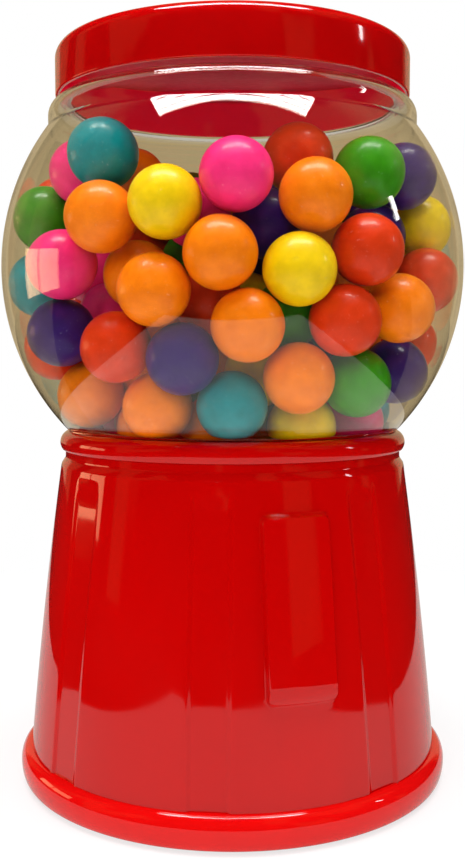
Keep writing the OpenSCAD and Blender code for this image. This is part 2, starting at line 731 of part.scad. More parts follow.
bolt_top = guard_z + guard_t + 6;
module centre_bolt() color("#B9BCC0") {
    translate([0, 0, hopper_z - 4 - seat_fit]) cylinder(r = 5.5, h = 4, $fn = 6);
    translate([0, 0, hopper_z - 4]) cylinder(r = bolt_r, h = bolt_top - hopper_z + 4);
}

// A cap over the drop hole, on an arm that the centre bolt holds
module drop_guard() color("#C9CCD0")
    difference() {
        union() {
            translate([0, 0, guard_z]) cylinder(r = 7, h = guard_t);
            rotate(drop_turn) translate([-5, 0, guard_z])
                cube([10, pocket_ring_r - 12, guard_t]);
            intersection() {
                translate([drop_at[0], drop_at[1], guard_dome_z]) sphere(guard_dome_r);
                translate([drop_at[0], drop_at[1], guard_z]) cylinder(r = guard_cap_r + 1, h = 20);
            }
        }
        intersection() {
            translate([drop_at[0], drop_at[1], guard_dome_z]) sphere(guard_dome_r - guard_t);
            translate([drop_at[0], drop_at[1], guard_z - 1]) cylinder(r = guard_cap_r, h = 20);
        }
        translate([0, 0, guard_z - 1]) cylinder(r = bolt_r + run_fit, h = 5);
    }

module guard_nut() color("#B9BCC0")
    difference() {
        translate([0, 0, guard_z + guard_t + seat_fit / 2]) cylinder(r = 5.5, h = 4.5, $fn = 6);
        translate([0, 0, guard_z]) cylinder(r = bolt_r + run_fit, h = 10);
    }

// ---- Front plate, chute and flap ------------------------------------------
module front_plate() color("#C9CCD0")
    difference() {
        union() {
            along_y(plate_back, plate_y)
                rounded_window(plate_w, plate_low, plate_high, frame_corner - frame_t - 0.2);
            rod_y(drum_r, plate_y - 0.01, drum_y);
            for (x = [-1, 1])
                rod_y(head_r, plate_back - boss_l, plate_back + 0.01, x * bracket_screw_x);
            for (x = [-1, 1]) {
                side = x * (flap_w / 2 + free_gap + lug_w / 2);
                translate([side - lug_w / 2, plate_y - 0.01, hinge_z - barrel_r])
                    cube([lug_w, hinge_y - plate_y, 2 * barrel_r]);
                translate([side - lug_w / 2, hinge_y, hinge_z]) rotate([0, 90, 0])
                    cylinder(r = barrel_r, h = lug_w);
            }
        }
        // the hollow of the coin housing, its shaft bore and its coin slot
        rod_y(drum_bore_r, plate_y, drum_y - drum_wall);
        rod_y(shaft_r + run_fit, plate_back - 1, drum_y + 1);
        translate([-coin_slot_l / 2, coin_y, shaft_z + 10])
            cube([coin_slot_l, coin_slot_w, 20]);
        // the way by which the coin falls inside
        along_y(plate_back - 1, plate_y + 1)
            rounded_window(18, shaft_z - 22, shaft_z - 15.5, 2);
        along_y(plate_back - 1, plate_y + 1)
            rounded_window(mouth_w, mouth_low, mouth_high, 3);
        translate([0, hinge_y, hinge_z]) rotate([0, 90, 0])
            cylinder(r = pin_r + 0.02, h = 2 * flap_w, center = true);
        for (x = [-1, 1]) {
            for (z = plate_screw_z)
                rod_y(screw_r + 0.1, plate_back - 1, plate_y + 1, x * plate_screw_x, z);
            rod_y(screw_r, plate_back - boss_l - 1, plate_y - 1, x * bracket_screw_x, shaft_z);
            rod_y(screw_r + 0.1, plate_back - 1, plate_y + 1, x * chute_screw_x, chute_screw_z);
        }
    }

module plate_screws() color("#B9BCC0")
    for (x = [-1, 1], z = plate_screw_z) screw_in(x * plate_screw_x, z, plate_y, 10);

// Puts children where y runs down the chute's floor to the plate, and z stands on it
module on_slope() {
    translate([0, chute_front, mouth_low + 1]) rotate([-chute_slope, 0, 0]) children();
}

module chute_plan(d) {
    right = mouth_w / 2 + chute_t + chute_step - d;
    polygon([[-right, chute_front + 1], [-right, chute_front - 22],
        [chute_left - chute_t + d, drop_at[1] + 6], [chute_left - chute_t + d, chute_back + d],
        [right, chute_back + d], [right, chute_front + 1]]);
}

// Cross-section of the chute's front, with a ridged roof that sheds the coins to both
// sides; drawn in by d
module chute_section(d) {
    half = mouth_w / 2 + chute_t - d;
    low = d - chute_t - chute_step;
    side = chute_wall_h + chute_step - 0.9 * d;
    polygon([[-half, low], [half, low], [half, side], [0, roof_peak - d], [-half, side]]);
}

// A sloping trough that widens under the hopper's drop hole
module chute() color("#E9E6DE")
    difference() {
        union() {
            intersection() {
                linear_extrude(200) chute_plan(0);
                on_slope() translate([-60, -110, -chute_t])
                    cube([120, 112 - roof_len, chute_wall_h + chute_t]);
                translate([-60, 0, 0]) cube([120, chute_front, hopper_z - free_gap]);
            }
            intersection() {
                on_slope() along_y(-roof_len, 20) chute_section(0);
                translate([-60, 0, 0]) cube([120, chute_front, 200]);
            }
            along_y(chute_front - 2, chute_front)
                rounded_window(flange_w, mouth_low - 1.8, shaft_z - 22.5, 3);
        }
        on_slope() along_y(-roof_len - 3, 20) chute_section(chute_t);
        intersection() {
            translate([0, 0, -1]) linear_extrude(200) chute_plan(chute_t);
            on_slope() translate([-60, -110, 0]) cube([120, 110 - roof_len, 140]);
        }
        for (x = [-1, 1])
            rod_y(screw_r, chute_front - 5, chute_front + 1, x * chute_screw_x, chute_screw_z);
    }

module chute_screws() color("#B9BCC0")
    for (x = [-1, 1]) screw_in(x * chute_screw_x, chute_screw_z, plate_y, 6);

module chute_flap() color("#C9CCD0")
    difference() {
        union() {
            translate([-flap_w / 2, hinge_y, hinge_z]) rotate([0, 90, 0])
                cylinder(r = barrel_r, h = flap_w);
            along_y(plate_y + free_gap, plate_y + free_gap + flap_t)
                rounded_window(flap_w, mouth_low - 3, hinge_z, 3);
            along_y(plate_y + free_gap, plate_y + free_gap + flap_t)
                translate([-flap_w / 2, hinge_z - 8]) square([flap_w, 8]);
            // the lip that a finger lifts
            translate([-flap_w / 4, plate_y + free_gap, mouth_low - 3])
                cube([flap_w / 2, flap_t + 3, 2]);
        }
        translate([0, hinge_y, hinge_z]) rotate([0, 90, 0])
            cylinder(r = pin_r + run_fit, h = 2 * flap_w, center = true);
    }

module flap_pin() color("#B9BCC0")
    translate([0, hinge_y, hinge_z]) rotate([0, 90, 0])
        cylinder(r = pin_r, h = flap_w + 2 * (lug_w + free_gap), center = true);

// ---- Coin mechanism -------------------------------------------------------
// A bore with a flat, for a piece that turns with the shaft
module keyed_bore(y0, y1) {
    difference() {
        rod_y(shaft_r + 0.02, y0, y1);
        translate([flat_x + 0.02, y0 - 1, shaft_z - 10]) cube([10, y1 - y0 + 2, 20]);
    }
}

module mech_bracket() color("#B9BCC0") {
    flange_y = plate_back - boss_l - seat_fit;
    difference() {
        union() {
            translate([-bracket_half, bracket_y, bracket_low])
                cube([2 * bracket_half, bracket_t, bracket_high - bracket_low]);
            for (x = [-1, 1]) {
                translate([x * (bracket_half - 1) - 1, bracket_y, bracket_low])
                    cube([2, flange_y - bracket_y, bracket_high - bracket_low]);
                translate([x * (bracket_half + 2.4) - 3.4, flange_y - bracket_t, bracket_low])
                    cube([6.8, bracket_t, bracket_high - bracket_low]);
            }
        }
        rod_y(shaft_r + run_fit, bracket_y - 1, bracket_y + bracket_t + 1);
        for (x = [-1, 1])
            rod_y(screw_r + 0.1, flange_y - 5, flange_y + 1, x * bracket_screw_x, shaft_z);
        // the hole of the screw that holds the click spring
        translate([bracket_half - 5, ratchet_y + ratchet_w / 2, shaft_z + 11]) rotate([0, 90, 0])
            cylinder(r = 1, h = 10);
    }
}

module bracket_screws() color("#B9BCC0")
    for (x = [-1, 1])
        screw_out(x * bracket_screw_x, shaft_z, plate_back - boss_l - bracket_t - 2 * seat_fit, 7);

module knob() color("#D8DADD")
    difference() {
        union() {
            rod_y(knob_d / 2, knob_y, knob_y + knob_base_h);
            rod_y(6, knob_y, knob_top_y);
            along_y(knob_y + knob_base_h - 0.01, knob_top_y) {
                translate([-4.5, shaft_z - knob_d / 2 + 4.5]) square([9, knob_d - 9]);
                for (z = [-1, 1])
                    translate([0, shaft_z + z * (knob_d / 2 - 4.5)]) circle(4.5);
            }
        }
        keyed_bore(knob_y - 1, shaft_end_y + 0.1);
        rod_y(screw_r + 0.1, shaft_end_y, knob_top_y + 1);
        rod_y(head_r + 0.2, knob_top_y - head_h - 0.4, knob_top_y + 1);
    }

module knob_screw() color("#B9BCC0")
    screw_in(0, shaft_z, knob_top_y - head_h - 0.3, knob_top_y - head_h - 0.3 - shaft_end_y + 8);

module knob_shaft() color("#B9BCC0")
    difference() {
        rod_y(shaft_r, pinion_y - 0.6, shaft_end_y);
        translate([flat_x, pinion_y - 2, shaft_z - 10]) cube([10, pinion_w + 2, 20]);
        translate([flat_x, ratchet_y, shaft_z - 10]) cube([10, ratchet_w, 20]);
        translate([flat_x, carrier_y, shaft_z - 10]) cube([10, carrier_w, 20]);
        translate([flat_x, knob_y, shaft_z - 10]) cube([10, 20, 20]);
        rod_y(screw_r, shaft_end_y - 9, shaft_end_y + 1);
    }

module coin_carrier() color("#C9A24A")
    difference() {
        rod_y(carrier_r, carrier_y, carrier_y + carrier_w);
        keyed_bore(carrier_y - 1, carrier_y + carrier_w + 1);
        rod_y(coin_r, coin_y, coin_y + coin_slot_w + 1, 0, shaft_z + carrier_r - 0.8);
    }

module ratchet_wheel() color("#C9A24A")
    difference() {
        rod_y(ratchet_r, ratchet_y, ratchet_y + ratchet_w);
        keyed_bore(ratchet_y - 1, ratchet_y + ratchet_w + 1);
        for (i = [0:ratchet_count - 1])
            translate([0, ratchet_y - 1, shaft_z]) rotate([0, i * 360 / ratchet_count, 0])
                translate([0, 0, ratchet_r - 2]) rotate([0, -12, 0])
                    cube([6, ratchet_w + 2, 6]);
    }

// A leaf that bends from the bracket's arm to the ratchet wheel's teeth
module click_spring() color("#9EA3A8") {
    arm_x = bracket_half - 2;
    difference() {
        along_y(ratchet_y + 0.4, ratchet_y + ratchet_w - 0.4)
            translate([arm_x, shaft_z])
                polygon([[0, 14], [0, 6.6], [-4.1, 1.5], [-4.35, 1.75], [-0.35, 6.8],
                    [-0.35, 14]]);
        translate([arm_x - 1, ratchet_y + ratchet_w / 2, shaft_z + 11]) rotate([0, 90, 0])
            cylinder(r = 0.8, h = 5);
    }
}

module spring_screw() color("#B9BCC0") {
    translate([bracket_half - 3.3, ratchet_y + ratchet_w / 2, shaft_z + 11])
        rotate([0, 90, 0]) cylinder(r = 0.78, h = 4.5);
    translate([bracket_half - 3.35, ratchet_y + ratchet_w / 2, shaft_z + 11])
        rotate([0, 90, 0]) cylinder(r = 1.4, h = 1);
}

module drive_pinion() color("#C9A24A")
    difference() {
        union() {
            rod_y(5.4, pinion_y, pinion_y + pinion_w);
            for (i = [0:pinion_teeth - 1])
                translate([0, pinion_y + pinion_w, shaft_z]) rotate([90, 0, 0])
                    rotate(i * 360 / pinion_teeth) linear_extrude(pinion_w)
                        polygon([[4, -1.1], [7.5, -0.95], [pinion_tip_r, -0.55],
                            [pinion_tip_r, 0.55], [7.5, 0.95], [4, 1.1]]);
        }
        keyed_bore(pinion_y - 1, pinion_y + pinion_w + 1);
    }

module shaft_clip() color("#9EA3A8")
    difference() {
        rod_y(5, clip_y, clip_y + 0.8);
        rod_y(shaft_r + 0.02, clip_y - 1, clip_y + 2);
    }

module gumballs_red() color("#E5342A") gumballs(0);
module gumballs_orange() color("#F8871F") gumballs(1);
module gumballs_yellow() color("#F1D21B") gumballs(2);
module gumballs_green() color("#2F9A2B") gumballs(3);
module gumballs_teal() color("#16889B") gumballs(4);
module gumballs_purple() color("#41307F") gumballs(5);
module gumballs_pink() color("#EA3D86") gumballs(6);

lid();
lid_seal();
globe();
base_shell();
foot_ring();
bottom_plate();
base_screws();
rubber_foot();
coin_plug();
hopper();
hopper_screws();
dispensing_wheel();
pocket_gumballs();
wheel_bush();
centre_bolt();
drop_guard();
guard_nut();
front_plate();
plate_screws();
mech_bracket();
bracket_screws();
knob();
knob_screw();
knob_shaft();
coin_carrier();
ratchet_wheel();
click_spring();
spring_screw();
drive_pinion();
shaft_clip();
chute();
chute_screws();
chute_flap();
flap_pin();
gumballs_red();
gumballs_orange();
gumballs_yellow();
gumballs_green();
gumballs_teal();
gumballs_purple();
gumballs_pink();
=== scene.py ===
"""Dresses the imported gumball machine: builds its visible pieces, their materials, the stage
and the camera. Metres, +Z up, the coin mechanism at +Y and the plain panel at -Y."""

import contextlib
import json
import math

import bmesh
import bpy
import numpy as np
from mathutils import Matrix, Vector


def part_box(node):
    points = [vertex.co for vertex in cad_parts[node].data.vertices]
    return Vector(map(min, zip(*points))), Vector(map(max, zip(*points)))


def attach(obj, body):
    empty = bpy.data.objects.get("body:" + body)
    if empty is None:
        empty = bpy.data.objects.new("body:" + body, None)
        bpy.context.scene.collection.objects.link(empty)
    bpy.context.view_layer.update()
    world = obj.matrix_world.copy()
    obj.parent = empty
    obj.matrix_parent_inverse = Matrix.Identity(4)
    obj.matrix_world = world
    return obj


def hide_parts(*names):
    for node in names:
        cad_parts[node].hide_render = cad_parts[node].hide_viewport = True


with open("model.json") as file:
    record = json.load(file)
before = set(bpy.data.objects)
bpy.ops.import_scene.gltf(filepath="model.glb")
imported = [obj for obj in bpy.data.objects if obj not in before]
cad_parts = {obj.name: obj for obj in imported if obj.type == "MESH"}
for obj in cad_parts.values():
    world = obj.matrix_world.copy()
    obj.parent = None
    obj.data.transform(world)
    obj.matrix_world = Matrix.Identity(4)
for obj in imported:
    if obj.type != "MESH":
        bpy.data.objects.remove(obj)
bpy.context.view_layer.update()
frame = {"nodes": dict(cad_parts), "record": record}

bl_info = {
    "name": "Gumball machine",
    "version": (1, 0, 0),
    "blender": (4, 5, 0),
    "location": "View3D > Sidebar > Gumball",
    "description": "Builds the looks of a gumball machine around its solid model",
    "category": "Add Mesh",
}

MM = 0.001
NODES = frame["nodes"]
MATERIALS = {}
GUM_COLOURS = {"red": "DC380A", "orange": "FF8000", "yellow": "EDC800", "green": "35900A",
               "teal": "008A92", "purple": "35186C", "pink": "FF2F80"}
TONE_NAME = "ball_tone"
# nearly all of a noise pattern's values lie between these
NOISE_RANGE = (0.3, 0.7)
BLACK, WHITE = (0.0, 0.0, 0.0, 1.0), (1.0, 1.0, 1.0, 1.0)
# linear colour of the clear plastic where its wall is seen edge on
SLANT_TINT = (0.84, 0.79, 0.68, 1.0)
# metres: no ray from one face of the clear wall to the other is longer
LONGEST_IN_WALL = 2.5 * MM
# metres: points nearer than this are one
SAME_PLACE = 1e-7


def linear_rgb(code):
    """Turns an sRGB hex code such as "C40000" into linear red, green and blue."""
    values = [int(code[i:i + 2], 16) / 255 for i in (0, 2, 4)]
    return [v / 12.92 if v <= 0.04045 else ((v + 0.055) / 1.055) ** 2.4 for v in values]


def length(name, value, text):
    """A size property, given in millimetres."""
    return bpy.props.FloatProperty(name=name, description=text, default=value * MM,
                                   min=0.0, unit="LENGTH", precision=5)


def colour(name, code, text):
    """A colour property, given as an sRGB hex code."""
    return bpy.props.FloatVectorProperty(name=name, description=text, subtype="COLOR", size=3,
                                         min=0.0, max=1.0, default=linear_rgb(code))


def strength(name, value, text):
    """A lamp's strength."""
    return bpy.props.FloatProperty(name=name, description=text, default=value, min=0.0)


# ---- Settings -------------------------------------------------------------
class GumballSizes(bpy.types.PropertyGroup):
    """Sizes of the dressed pieces."""

    globe_radius: length("Globe radius", 88.3, "Outer radius of the round globe")
    globe_centre: length("Globe centre", 195.54, "Height of the globe's centre")
    glass_wall: length("Globe wall", 1.5, "Wall of the clear globe")
    ring_radius: length("Support ring radius", 70.3, "Radius of the ring below the lid")
    lid_radius: length("Lid radius", 67.5, "Outer radius of the lid")
    lid_corner: length("Lid corner", 5.0, "Radius of the lid's top corner")
    cone_top: length("Cone top radius", 66.5, "Radius of the cone below the collar")
    cone_foot: length("Cone foot radius", 79.4, "Radius of the cone above the foot ring")
    barrel: length("Barrel", 0.8, "How far the cone's side swells at its middle")
    flute_depth: length("Flute depth", 1.0, "Depth of a flute in the cone")
    flute_edge: length("Flute edge", 2.2, "Width of a flute's rounded edge")
    flute_fade: length("Flute fade", 12.0, "Height over which a flute fades out at its top")
    panel_edge: length("Panel edge", 1.5, "Width of the raised panel's rounded edge")
    panel_ramp: length("Panel foot", 7.5, "Height of the slope at the panel's foot")
    shell_wall: length("Shell wall", 2.4, "Wall of the base shell")
    ball_diameter: length("Gumball diameter", 24.56, "Diameter of a gumball")
    ball_dent: length("Gumball unevenness", 0.22, "How far a gumball departs from round")
    round_steps: bpy.props.IntProperty(
        name="Steps around", description="Faces around each turned piece", default=192, min=24)


class GumballColours(bpy.types.PropertyGroup):
    """Colours of the finishes; those of the gumballs are added below."""

    base_red: colour("Base red", "BA0101", "Red plastic of the base")
    # the same red polystyrene as the base, made lighter: painted light for the brighter light and
    # reflection on the foot ring
    ring_red_painted_light: colour("Foot ring red", "D80808", "Red plastic of the foot ring")
    lid_red: colour("Lid red", "AA0203", "Red plastic of the lid")
    # painted glow: lighter than the lid's red, it colours and lights the lid's inner side for the
    # light through its wall
    lid_inside_painted_glow: colour("Lid inside", "E0103A", "Inner side of the lid, with light through it")
    clear: colour("Clear plastic", "F4F3EC", "Tint of the clear globe")
    seal: colour("Seal", "D4143C", "Foam liner in the lid")
    white: colour("White plastic", "E6E2D8", "Hopper, wheel and chute")
    black: colour("Black plastic", "242426", "Bottom plate and coin plug")
    rubber: colour("Rubber", "1C1C1D", "Ring that the machine stands on")
    chrome: colour("Chrome", "D9DCDF", "Coin plate, knob and flap")
    zinc: colour("Zinc", "B4B8BC", "Screws, bolt, bracket and guard")
    brass: colour("Brass", "C8A04A", "Coin carrier, ratchet, pinion and bush")
    floor: colour("Floor", "F2F2F2", "Floor that the machine stands on")
    room: colour("Room", "C2AE88", "Wall that clear plastic and gloss show")


GumballColours.__annotations__.update(
    {"gum_" + name: colour(name.capitalize() + " gum", code, f"Sugar shell of the {name} gumballs")
     for name, code in GUM_COLOURS.items()})


class GumballStudio(bpy.types.PropertyGroup):
    """Strengths of the studio's lamps."""

    key_power: strength("Key", 8.8, "Watts of the soft lamp overhead")
    front_power: strength("Front lamp", 6.6, "Watts of the soft lamp before the machine")
    louvre_power: strength("Louvre lamps", 1.6, "Watts of each narrow lamp overhead")
    window_power: strength("Window", 3.0, "Watts for each metre of the panes' width")
    strip_power: strength("Strip", 0.4, "Watts of the narrow lamp at the right")
    ambient: strength("Ambient", 0.34, "Strength of the even light from all round")


def sizes():
    return bpy.context.scene.gumball_sizes


def mm(name):
    """A size property in millimetres."""
    return getattr(sizes(), name) / MM


def colour_of(name):
    return tuple(getattr(bpy.context.scene.gumball_colours, name))


# ---- Node helpers ---------------------------------------------------------
def add(tree, kind, inputs=(), pick=0, **settings):
    """Adds a node and returns the output that pick names, or all outputs where it is None;
    inputs maps a socket's name or number to a value or another node's output. A kind with no
    "Node" in it is a shader node's."""
    made = tree.nodes.new(kind if "Node" in kind else "ShaderNode" + kind)
    for name, value in settings.items():
        setattr(made, name, value)
    for key, value in dict(inputs).items():
        if isinstance(value, bpy.types.NodeSocket):
            tree.links.new(value, made.inputs[key])
        else:
            made.inputs[key].default_value = value
    return made.outputs if pick is None else made.outputs[pick]


def calc(tree, operation, *terms):
    """The result of a Math node."""
    return add(tree, "Math", enumerate(terms), operation=operation)


def vector_calc(tree, operation, *terms):
    """The result of a Vector Math node: a number for LENGTH and DOT_PRODUCT."""
    pick = "Value" if operation in ("LENGTH", "DOT_PRODUCT") else "Vector"
    return add(tree, "VectorMath", enumerate(terms), pick, operation=operation)


def ramp(tree, value, start, end, low=0.0, high=1.0):
    """Turns a value between start and end into one between low and high, and holds it there."""
    return add(tree, "MapRange", {"Value": value, "From Min": start, "From Max": end,
                                  "To Min": low, "To Max": high})


def blend(tree, factor, first, second):
    """A mix of two colours, each an RGBA or another node's output."""
    return add(tree, "Mix", {0: factor, 6: first, 7: second}, 2, data_type="RGBA")


def blend_shaders(tree, factor, first, second):
    return add(tree, "MixShader", {0: factor, 1: first, 2: second})


def object_place(tree, scale=(1.0, 1.0, 1.0)):
    """The place on the piece, in metres and stretched: a piece's frame is the machine's."""
    place = add(tree, "TexCoord", pick="Object")
    return add(tree, "Mapping", {"Vector": place, "Scale": scale})


def noise(tree, place, size_mm, detail, roughness=0.5):
    """A noise pattern with patches of about a size in mm."""
    return add(tree, "TexNoise", {"Vector": place, "Scale": 1.0 / (size_mm * MM),
                                  "Detail": detail, "Roughness": roughness})


def relief(tree, height, depth_mm, strength=1.0):
    """A bumped normal whose relief is depth_mm deep."""
    return add(tree, "Bump", {"Height": height, "Strength": strength,
                              "Distance": depth_mm * MM})


def reflected_or_bent(tree, rays):
    """1 for a ray that a glossy face or the clear plastic sends on."""
    return calc(tree, "MAXIMUM", rays["Is Glossy Ray"], rays["Is Transmission Ray"])


# ---- Materials ------------------------------------------------------------
def new_material(name):
    made = bpy.data.materials.new(name)
    made.use_nodes = True
    made.node_tree.nodes.clear()
    return made, made.node_tree


def show(tree, shader, kind="Material"):
    """Ends a material's or a world's tree in a shader."""
    add(tree, "Output" + kind, {"Surface": shader}, None)


def opaque(rgb):
    """A linear colour as RGBA."""
    return tuple(rgb) + (1.0,)


def shade(rgb, factor):
    """The colour made darker or lighter by a factor, as linear RGBA."""
    return opaque(min(1.0, max(0.0, c * factor)) for c in rgb)


def finish(name, colour_name, tone=(20.0, 0.06), rough=(0.3, 0.05, 8.0), grain=(0.8, 0.02),
           stretch=(1.0, 1.0, 1.0), **shader):
    """A finish from three noise patterns.

    tone: size of the colour's patches in mm and how far they darken and lighten; rough: the
    roughness, how far it varies and over how many mm; grain: the relief's grain and its depth,
    both in mm. stretch scales the patterns along X, Y and Z. shader goes on the shader's
    sockets."""
    made, tree = new_material(name)
    rgb = colour_of(colour_name)
    place = object_place(tree, stretch)
    patch_size, swing = tone
    middle, spread, rough_size = rough
    grain_size, grain_depth = grain
    patches = ramp(tree, noise(tree, place, patch_size, 3.0, 0.55), *NOISE_RANGE)
    show(tree, add(tree, "BsdfPrincipled", {
        "Base Color": blend(tree, patches, shade(rgb, 1 - swing), shade(rgb, 1 + swing)),
        "Roughness": ramp(tree, noise(tree, place, rough_size, 2.0, 0.55), *NOISE_RANGE,
                          max(0.02, middle - spread), middle + spread),
        "Normal": relief(tree, noise(tree, place, grain_size, 2.0, 0.55), grain_depth),
        **shader}))
    return made


def paint_glow_inside(made, rgb, radius_mm, top_mm, strength):
    """Paints the inner side of a thin cup with a glow, for the light that comes through the wall.
    """
    tree = made.node_tree
    surface = next(n for n in tree.nodes if n.bl_idname == "ShaderNodeBsdfPrincipled")
    outside = surface.inputs["Base Color"].links[0].from_socket
    place = object_place(tree)
    flat = vector_calc(tree, "MULTIPLY", place, (1.0, 1.0, 0.0))
    within = calc(tree, "LESS_THAN", vector_calc(tree, "LENGTH", flat), radius_mm * MM)
    level = add(tree, "SeparateXYZ", {"Vector": place}, "Z")
    inner = calc(tree, "MULTIPLY", within, calc(tree, "LESS_THAN", level, top_mm * MM))
    base = blend(tree, inner, outside, opaque(rgb))
    light = blend(tree, inner, BLACK, shade(rgb, strength))
    tree.links.new(base, surface.inputs["Base Color"])
    tree.links.new(light, surface.inputs["Emission Color"])
    surface.inputs["Emission Strength"].default_value = 1.0


def gum_shell(name, rgb):
    """Pan-coated sugar shell: a polished candy coat over gum. The coat gives a soft sheen, and
    the pan leaves a faint mottle with paler specks where the wax is thin."""
    made, tree = new_material(name)
    place = object_place(tree)
    mottle = noise(tree, place, 5.0, 4.0, 0.6)
    specks = noise(tree, place, 0.9, 1.0)
    mixed = blend(tree, ramp(tree, mottle, 0.32, 0.68), shade(rgb, 0.86), shade(rgb, 1.08))
    # each ball has its own tone, stored on its points
    own = add(tree, "Attribute", pick="Fac", attribute_name=TONE_NAME)
    toned = add(tree, "HueSaturation", {"Color": mixed, "Value": own})
    # only the pattern's highest spots are specks, so they are sparse
    sparse = ramp(tree, specks, 0.70, 0.80, 0.0, 0.22)
    pale = opaque(0.55 * c + 0.45 for c in rgb)
    show(tree, add(tree, "BsdfPrincipled", {
        "Base Color": blend(tree, sparse, toned, pale),
        "Roughness": ramp(tree, mottle, *NOISE_RANGE, 0.30, 0.42),
        "Normal": relief(tree, specks, 0.03), "IOR": 1.5, "Specular IOR Level": 0.2,
        "Coat Weight": 0.3, "Coat Roughness": 0.12, "Subsurface Weight": 0.08,
        "Subsurface Radius": (1.0, 0.6, 0.4), "Subsurface Scale": 2.0 * MM}))
    return made


def clear_plastic(name, rgb):
    """Blow-moulded clear PET: smooth and glossy, faintly wavy because the wall isn't even.
    Lamps reach what is inside, so it passes them straight through."""
    made, tree = new_material(name)
    waves = noise(tree, object_place(tree), 30.0, 1.0)
    # seen at a slant the wall is a longer way through, and its faint tint shows
    slant = add(tree, "LayerWeight", {"Blend": 0.5}, "Facing")
    glass = add(tree, "BsdfPrincipled", {
        "Base Color": blend(tree, ramp(tree, slant, 0.5, 1.0), opaque(rgb), SLANT_TINT),
        "Roughness": ramp(tree, waves, *NOISE_RANGE, 0.0, 0.02),
        "Normal": relief(tree, waves, 0.15, 0.6), "IOR": 1.5, "Transmission Weight": 1.0})
    through = add(tree, "BsdfTransparent", {"Color": (0.97, 0.97, 0.96, 1.0)})
    rays = add(tree, "LightPath", pick=None)
    soft = calc(tree, "MAXIMUM", rays["Is Shadow Ray"], rays["Is Diffuse Ray"])
    # a refracted ray counts as glossy too, and still has to meet the wall's other face
    mirrored = calc(tree, "SUBTRACT", rays["Is Glossy Ray"], rays["Is Transmission Ray"])
    # a mirrored ray that starts inside the wall is shorter than this, and is bent as it leaves
    far = calc(tree, "GREATER_THAN", rays["Ray Length"], LONGEST_IN_WALL)
    straight = calc(tree, "MAXIMUM", soft, calc(tree, "MULTIPLY", mirrored, far))
    show(tree, blend_shaders(tree, straight, glass, through))
    return made


def make_materials():
    """Every finish, by the name of its slot in the record."""
    made = {
        # injection-moulded polystyrene: a high gloss, with slow flow marks from the mould
        "base_red": finish("gloss_red_polystyrene", "base_red", (45.0, 0.04),
                           (0.05, 0.02, 18.0), (22.0, 0.04), (1.0, 1.0, 0.4), IOR=1.54),
        # the foot ring: the base's polystyrene, its red made lighter as painted light
        "ring_red_painted_light": finish("gloss_red_polystyrene_foot", "ring_red_painted_light", (30.0, 0.04),
                           (0.035, 0.015, 14.0), (16.0, 0.02), IOR=1.54),
        # polypropylene closure: glossy, with real subsurface light; the red glow on its inner side
        # is painted
        "lid_red": finish("gloss_red_polypropylene_lid", "lid_red", (25.0, 0.05),
                          (0.06, 0.02, 12.0), (14.0, 0.02),
                          **{"Subsurface Weight": 0.7, "Subsurface Radius": (1.0, 0.06, 0.10),
                             "Subsurface Scale": 6.0 * MM, "IOR": 1.54}),
        "clear_plastic": clear_plastic("clear_pet", colour_of("clear")),
        # foamed polyethylene liner in red: matt and slightly grainy
        "seal_plastic": finish("foamed_polyethylene_seal", "seal", (3.0, 0.06),
                               (0.7, 0.1, 2.0), (0.6, 0.06)),
        # natural ABS: satin, with a fine moulded texture
        "white_plastic": finish("satin_white_abs", "white", (16.0, 0.04),
                                (0.38, 0.06, 6.0), (0.8, 0.02), IOR=1.52),
        "black_plastic": finish("textured_black_abs", "black", (6.0, 0.15),
                                (0.52, 0.08, 2.0), (0.7, 0.08), IOR=1.52),
        # vulcanised rubber: matt, with a powdery bloom in patches
        "black_rubber": finish("moulded_black_rubber", "rubber", (8.0, 0.25),
                               (0.82, 0.1, 3.0), (0.5, 0.05)),
        # chromed zinc die casting: mirror bright, with faint handling haze
        "plate_chrome": finish("polished_chrome_plating", "chrome", (30.0, 0.03),
                               (0.09, 0.05, 5.0), (10.0, 0.01), Metallic=1.0),
        # zinc-plated steel: bright grey, slightly uneven
        "zinc_steel": finish("zinc_plated_steel", "zinc", (4.0, 0.08),
                             (0.30, 0.08, 1.5), (0.5, 0.01), Metallic=1.0),
        # machined brass: fine turning marks round the part
        "brass": finish("machined_brass", "brass", (5.0, 0.08),
                        (0.26, 0.08, 1.2), (0.5, 0.01), (1.0, 4.0, 1.0), Metallic=1.0),
    }
    # a painted glow, within the lid's outer wall and below its roof
    paint_glow_inside(made["lid_red"], colour_of("lid_inside_painted_glow"), radius_mm=66.0, top_mm=276.5,
                   strength=0.22)
    for name in GUM_COLOURS:
        made["gum_" + name] = gum_shell("sugar_shell_" + name, colour_of("gum_" + name))
    return made


# ---- Mesh helpers ---------------------------------------------------------
def cos(degrees):
    return math.cos(math.radians(degrees))


def sin(degrees):
    return math.sin(math.radians(degrees))


def rounded(corners, steps=6):
    """A profile of (r, z) points from corners of (r, z, rounding), each rounding an arc."""
    line = []
    for i, (r, z, radius) in enumerate(corners):
        here = Vector((r, z))
        before = Vector(corners[i - 1][:2]) - here
        after = Vector(corners[(i + 1) % len(corners)][:2]) - here
        if radius <= 0:
            line.append(here)
            continue
        half = before.angle(after) / 2
        reach = min(radius / math.tan(half), 0.49 * before.length, 0.49 * after.length)
        radius = reach * math.tan(half)
        start, end = here + before.normalized() * reach, here + after.normalized() * reach
        middle = (before.normalized() + after.normalized()).normalized()
        centre = here + middle * (radius / math.sin(half))
        a, b = start - centre, end - centre
        for k in range(steps + 1):
            t = k / steps
            line.append(centre + (a * (1 - t) + b * t).normalized() * radius)
    return [(p.x, p.y) for p in line]


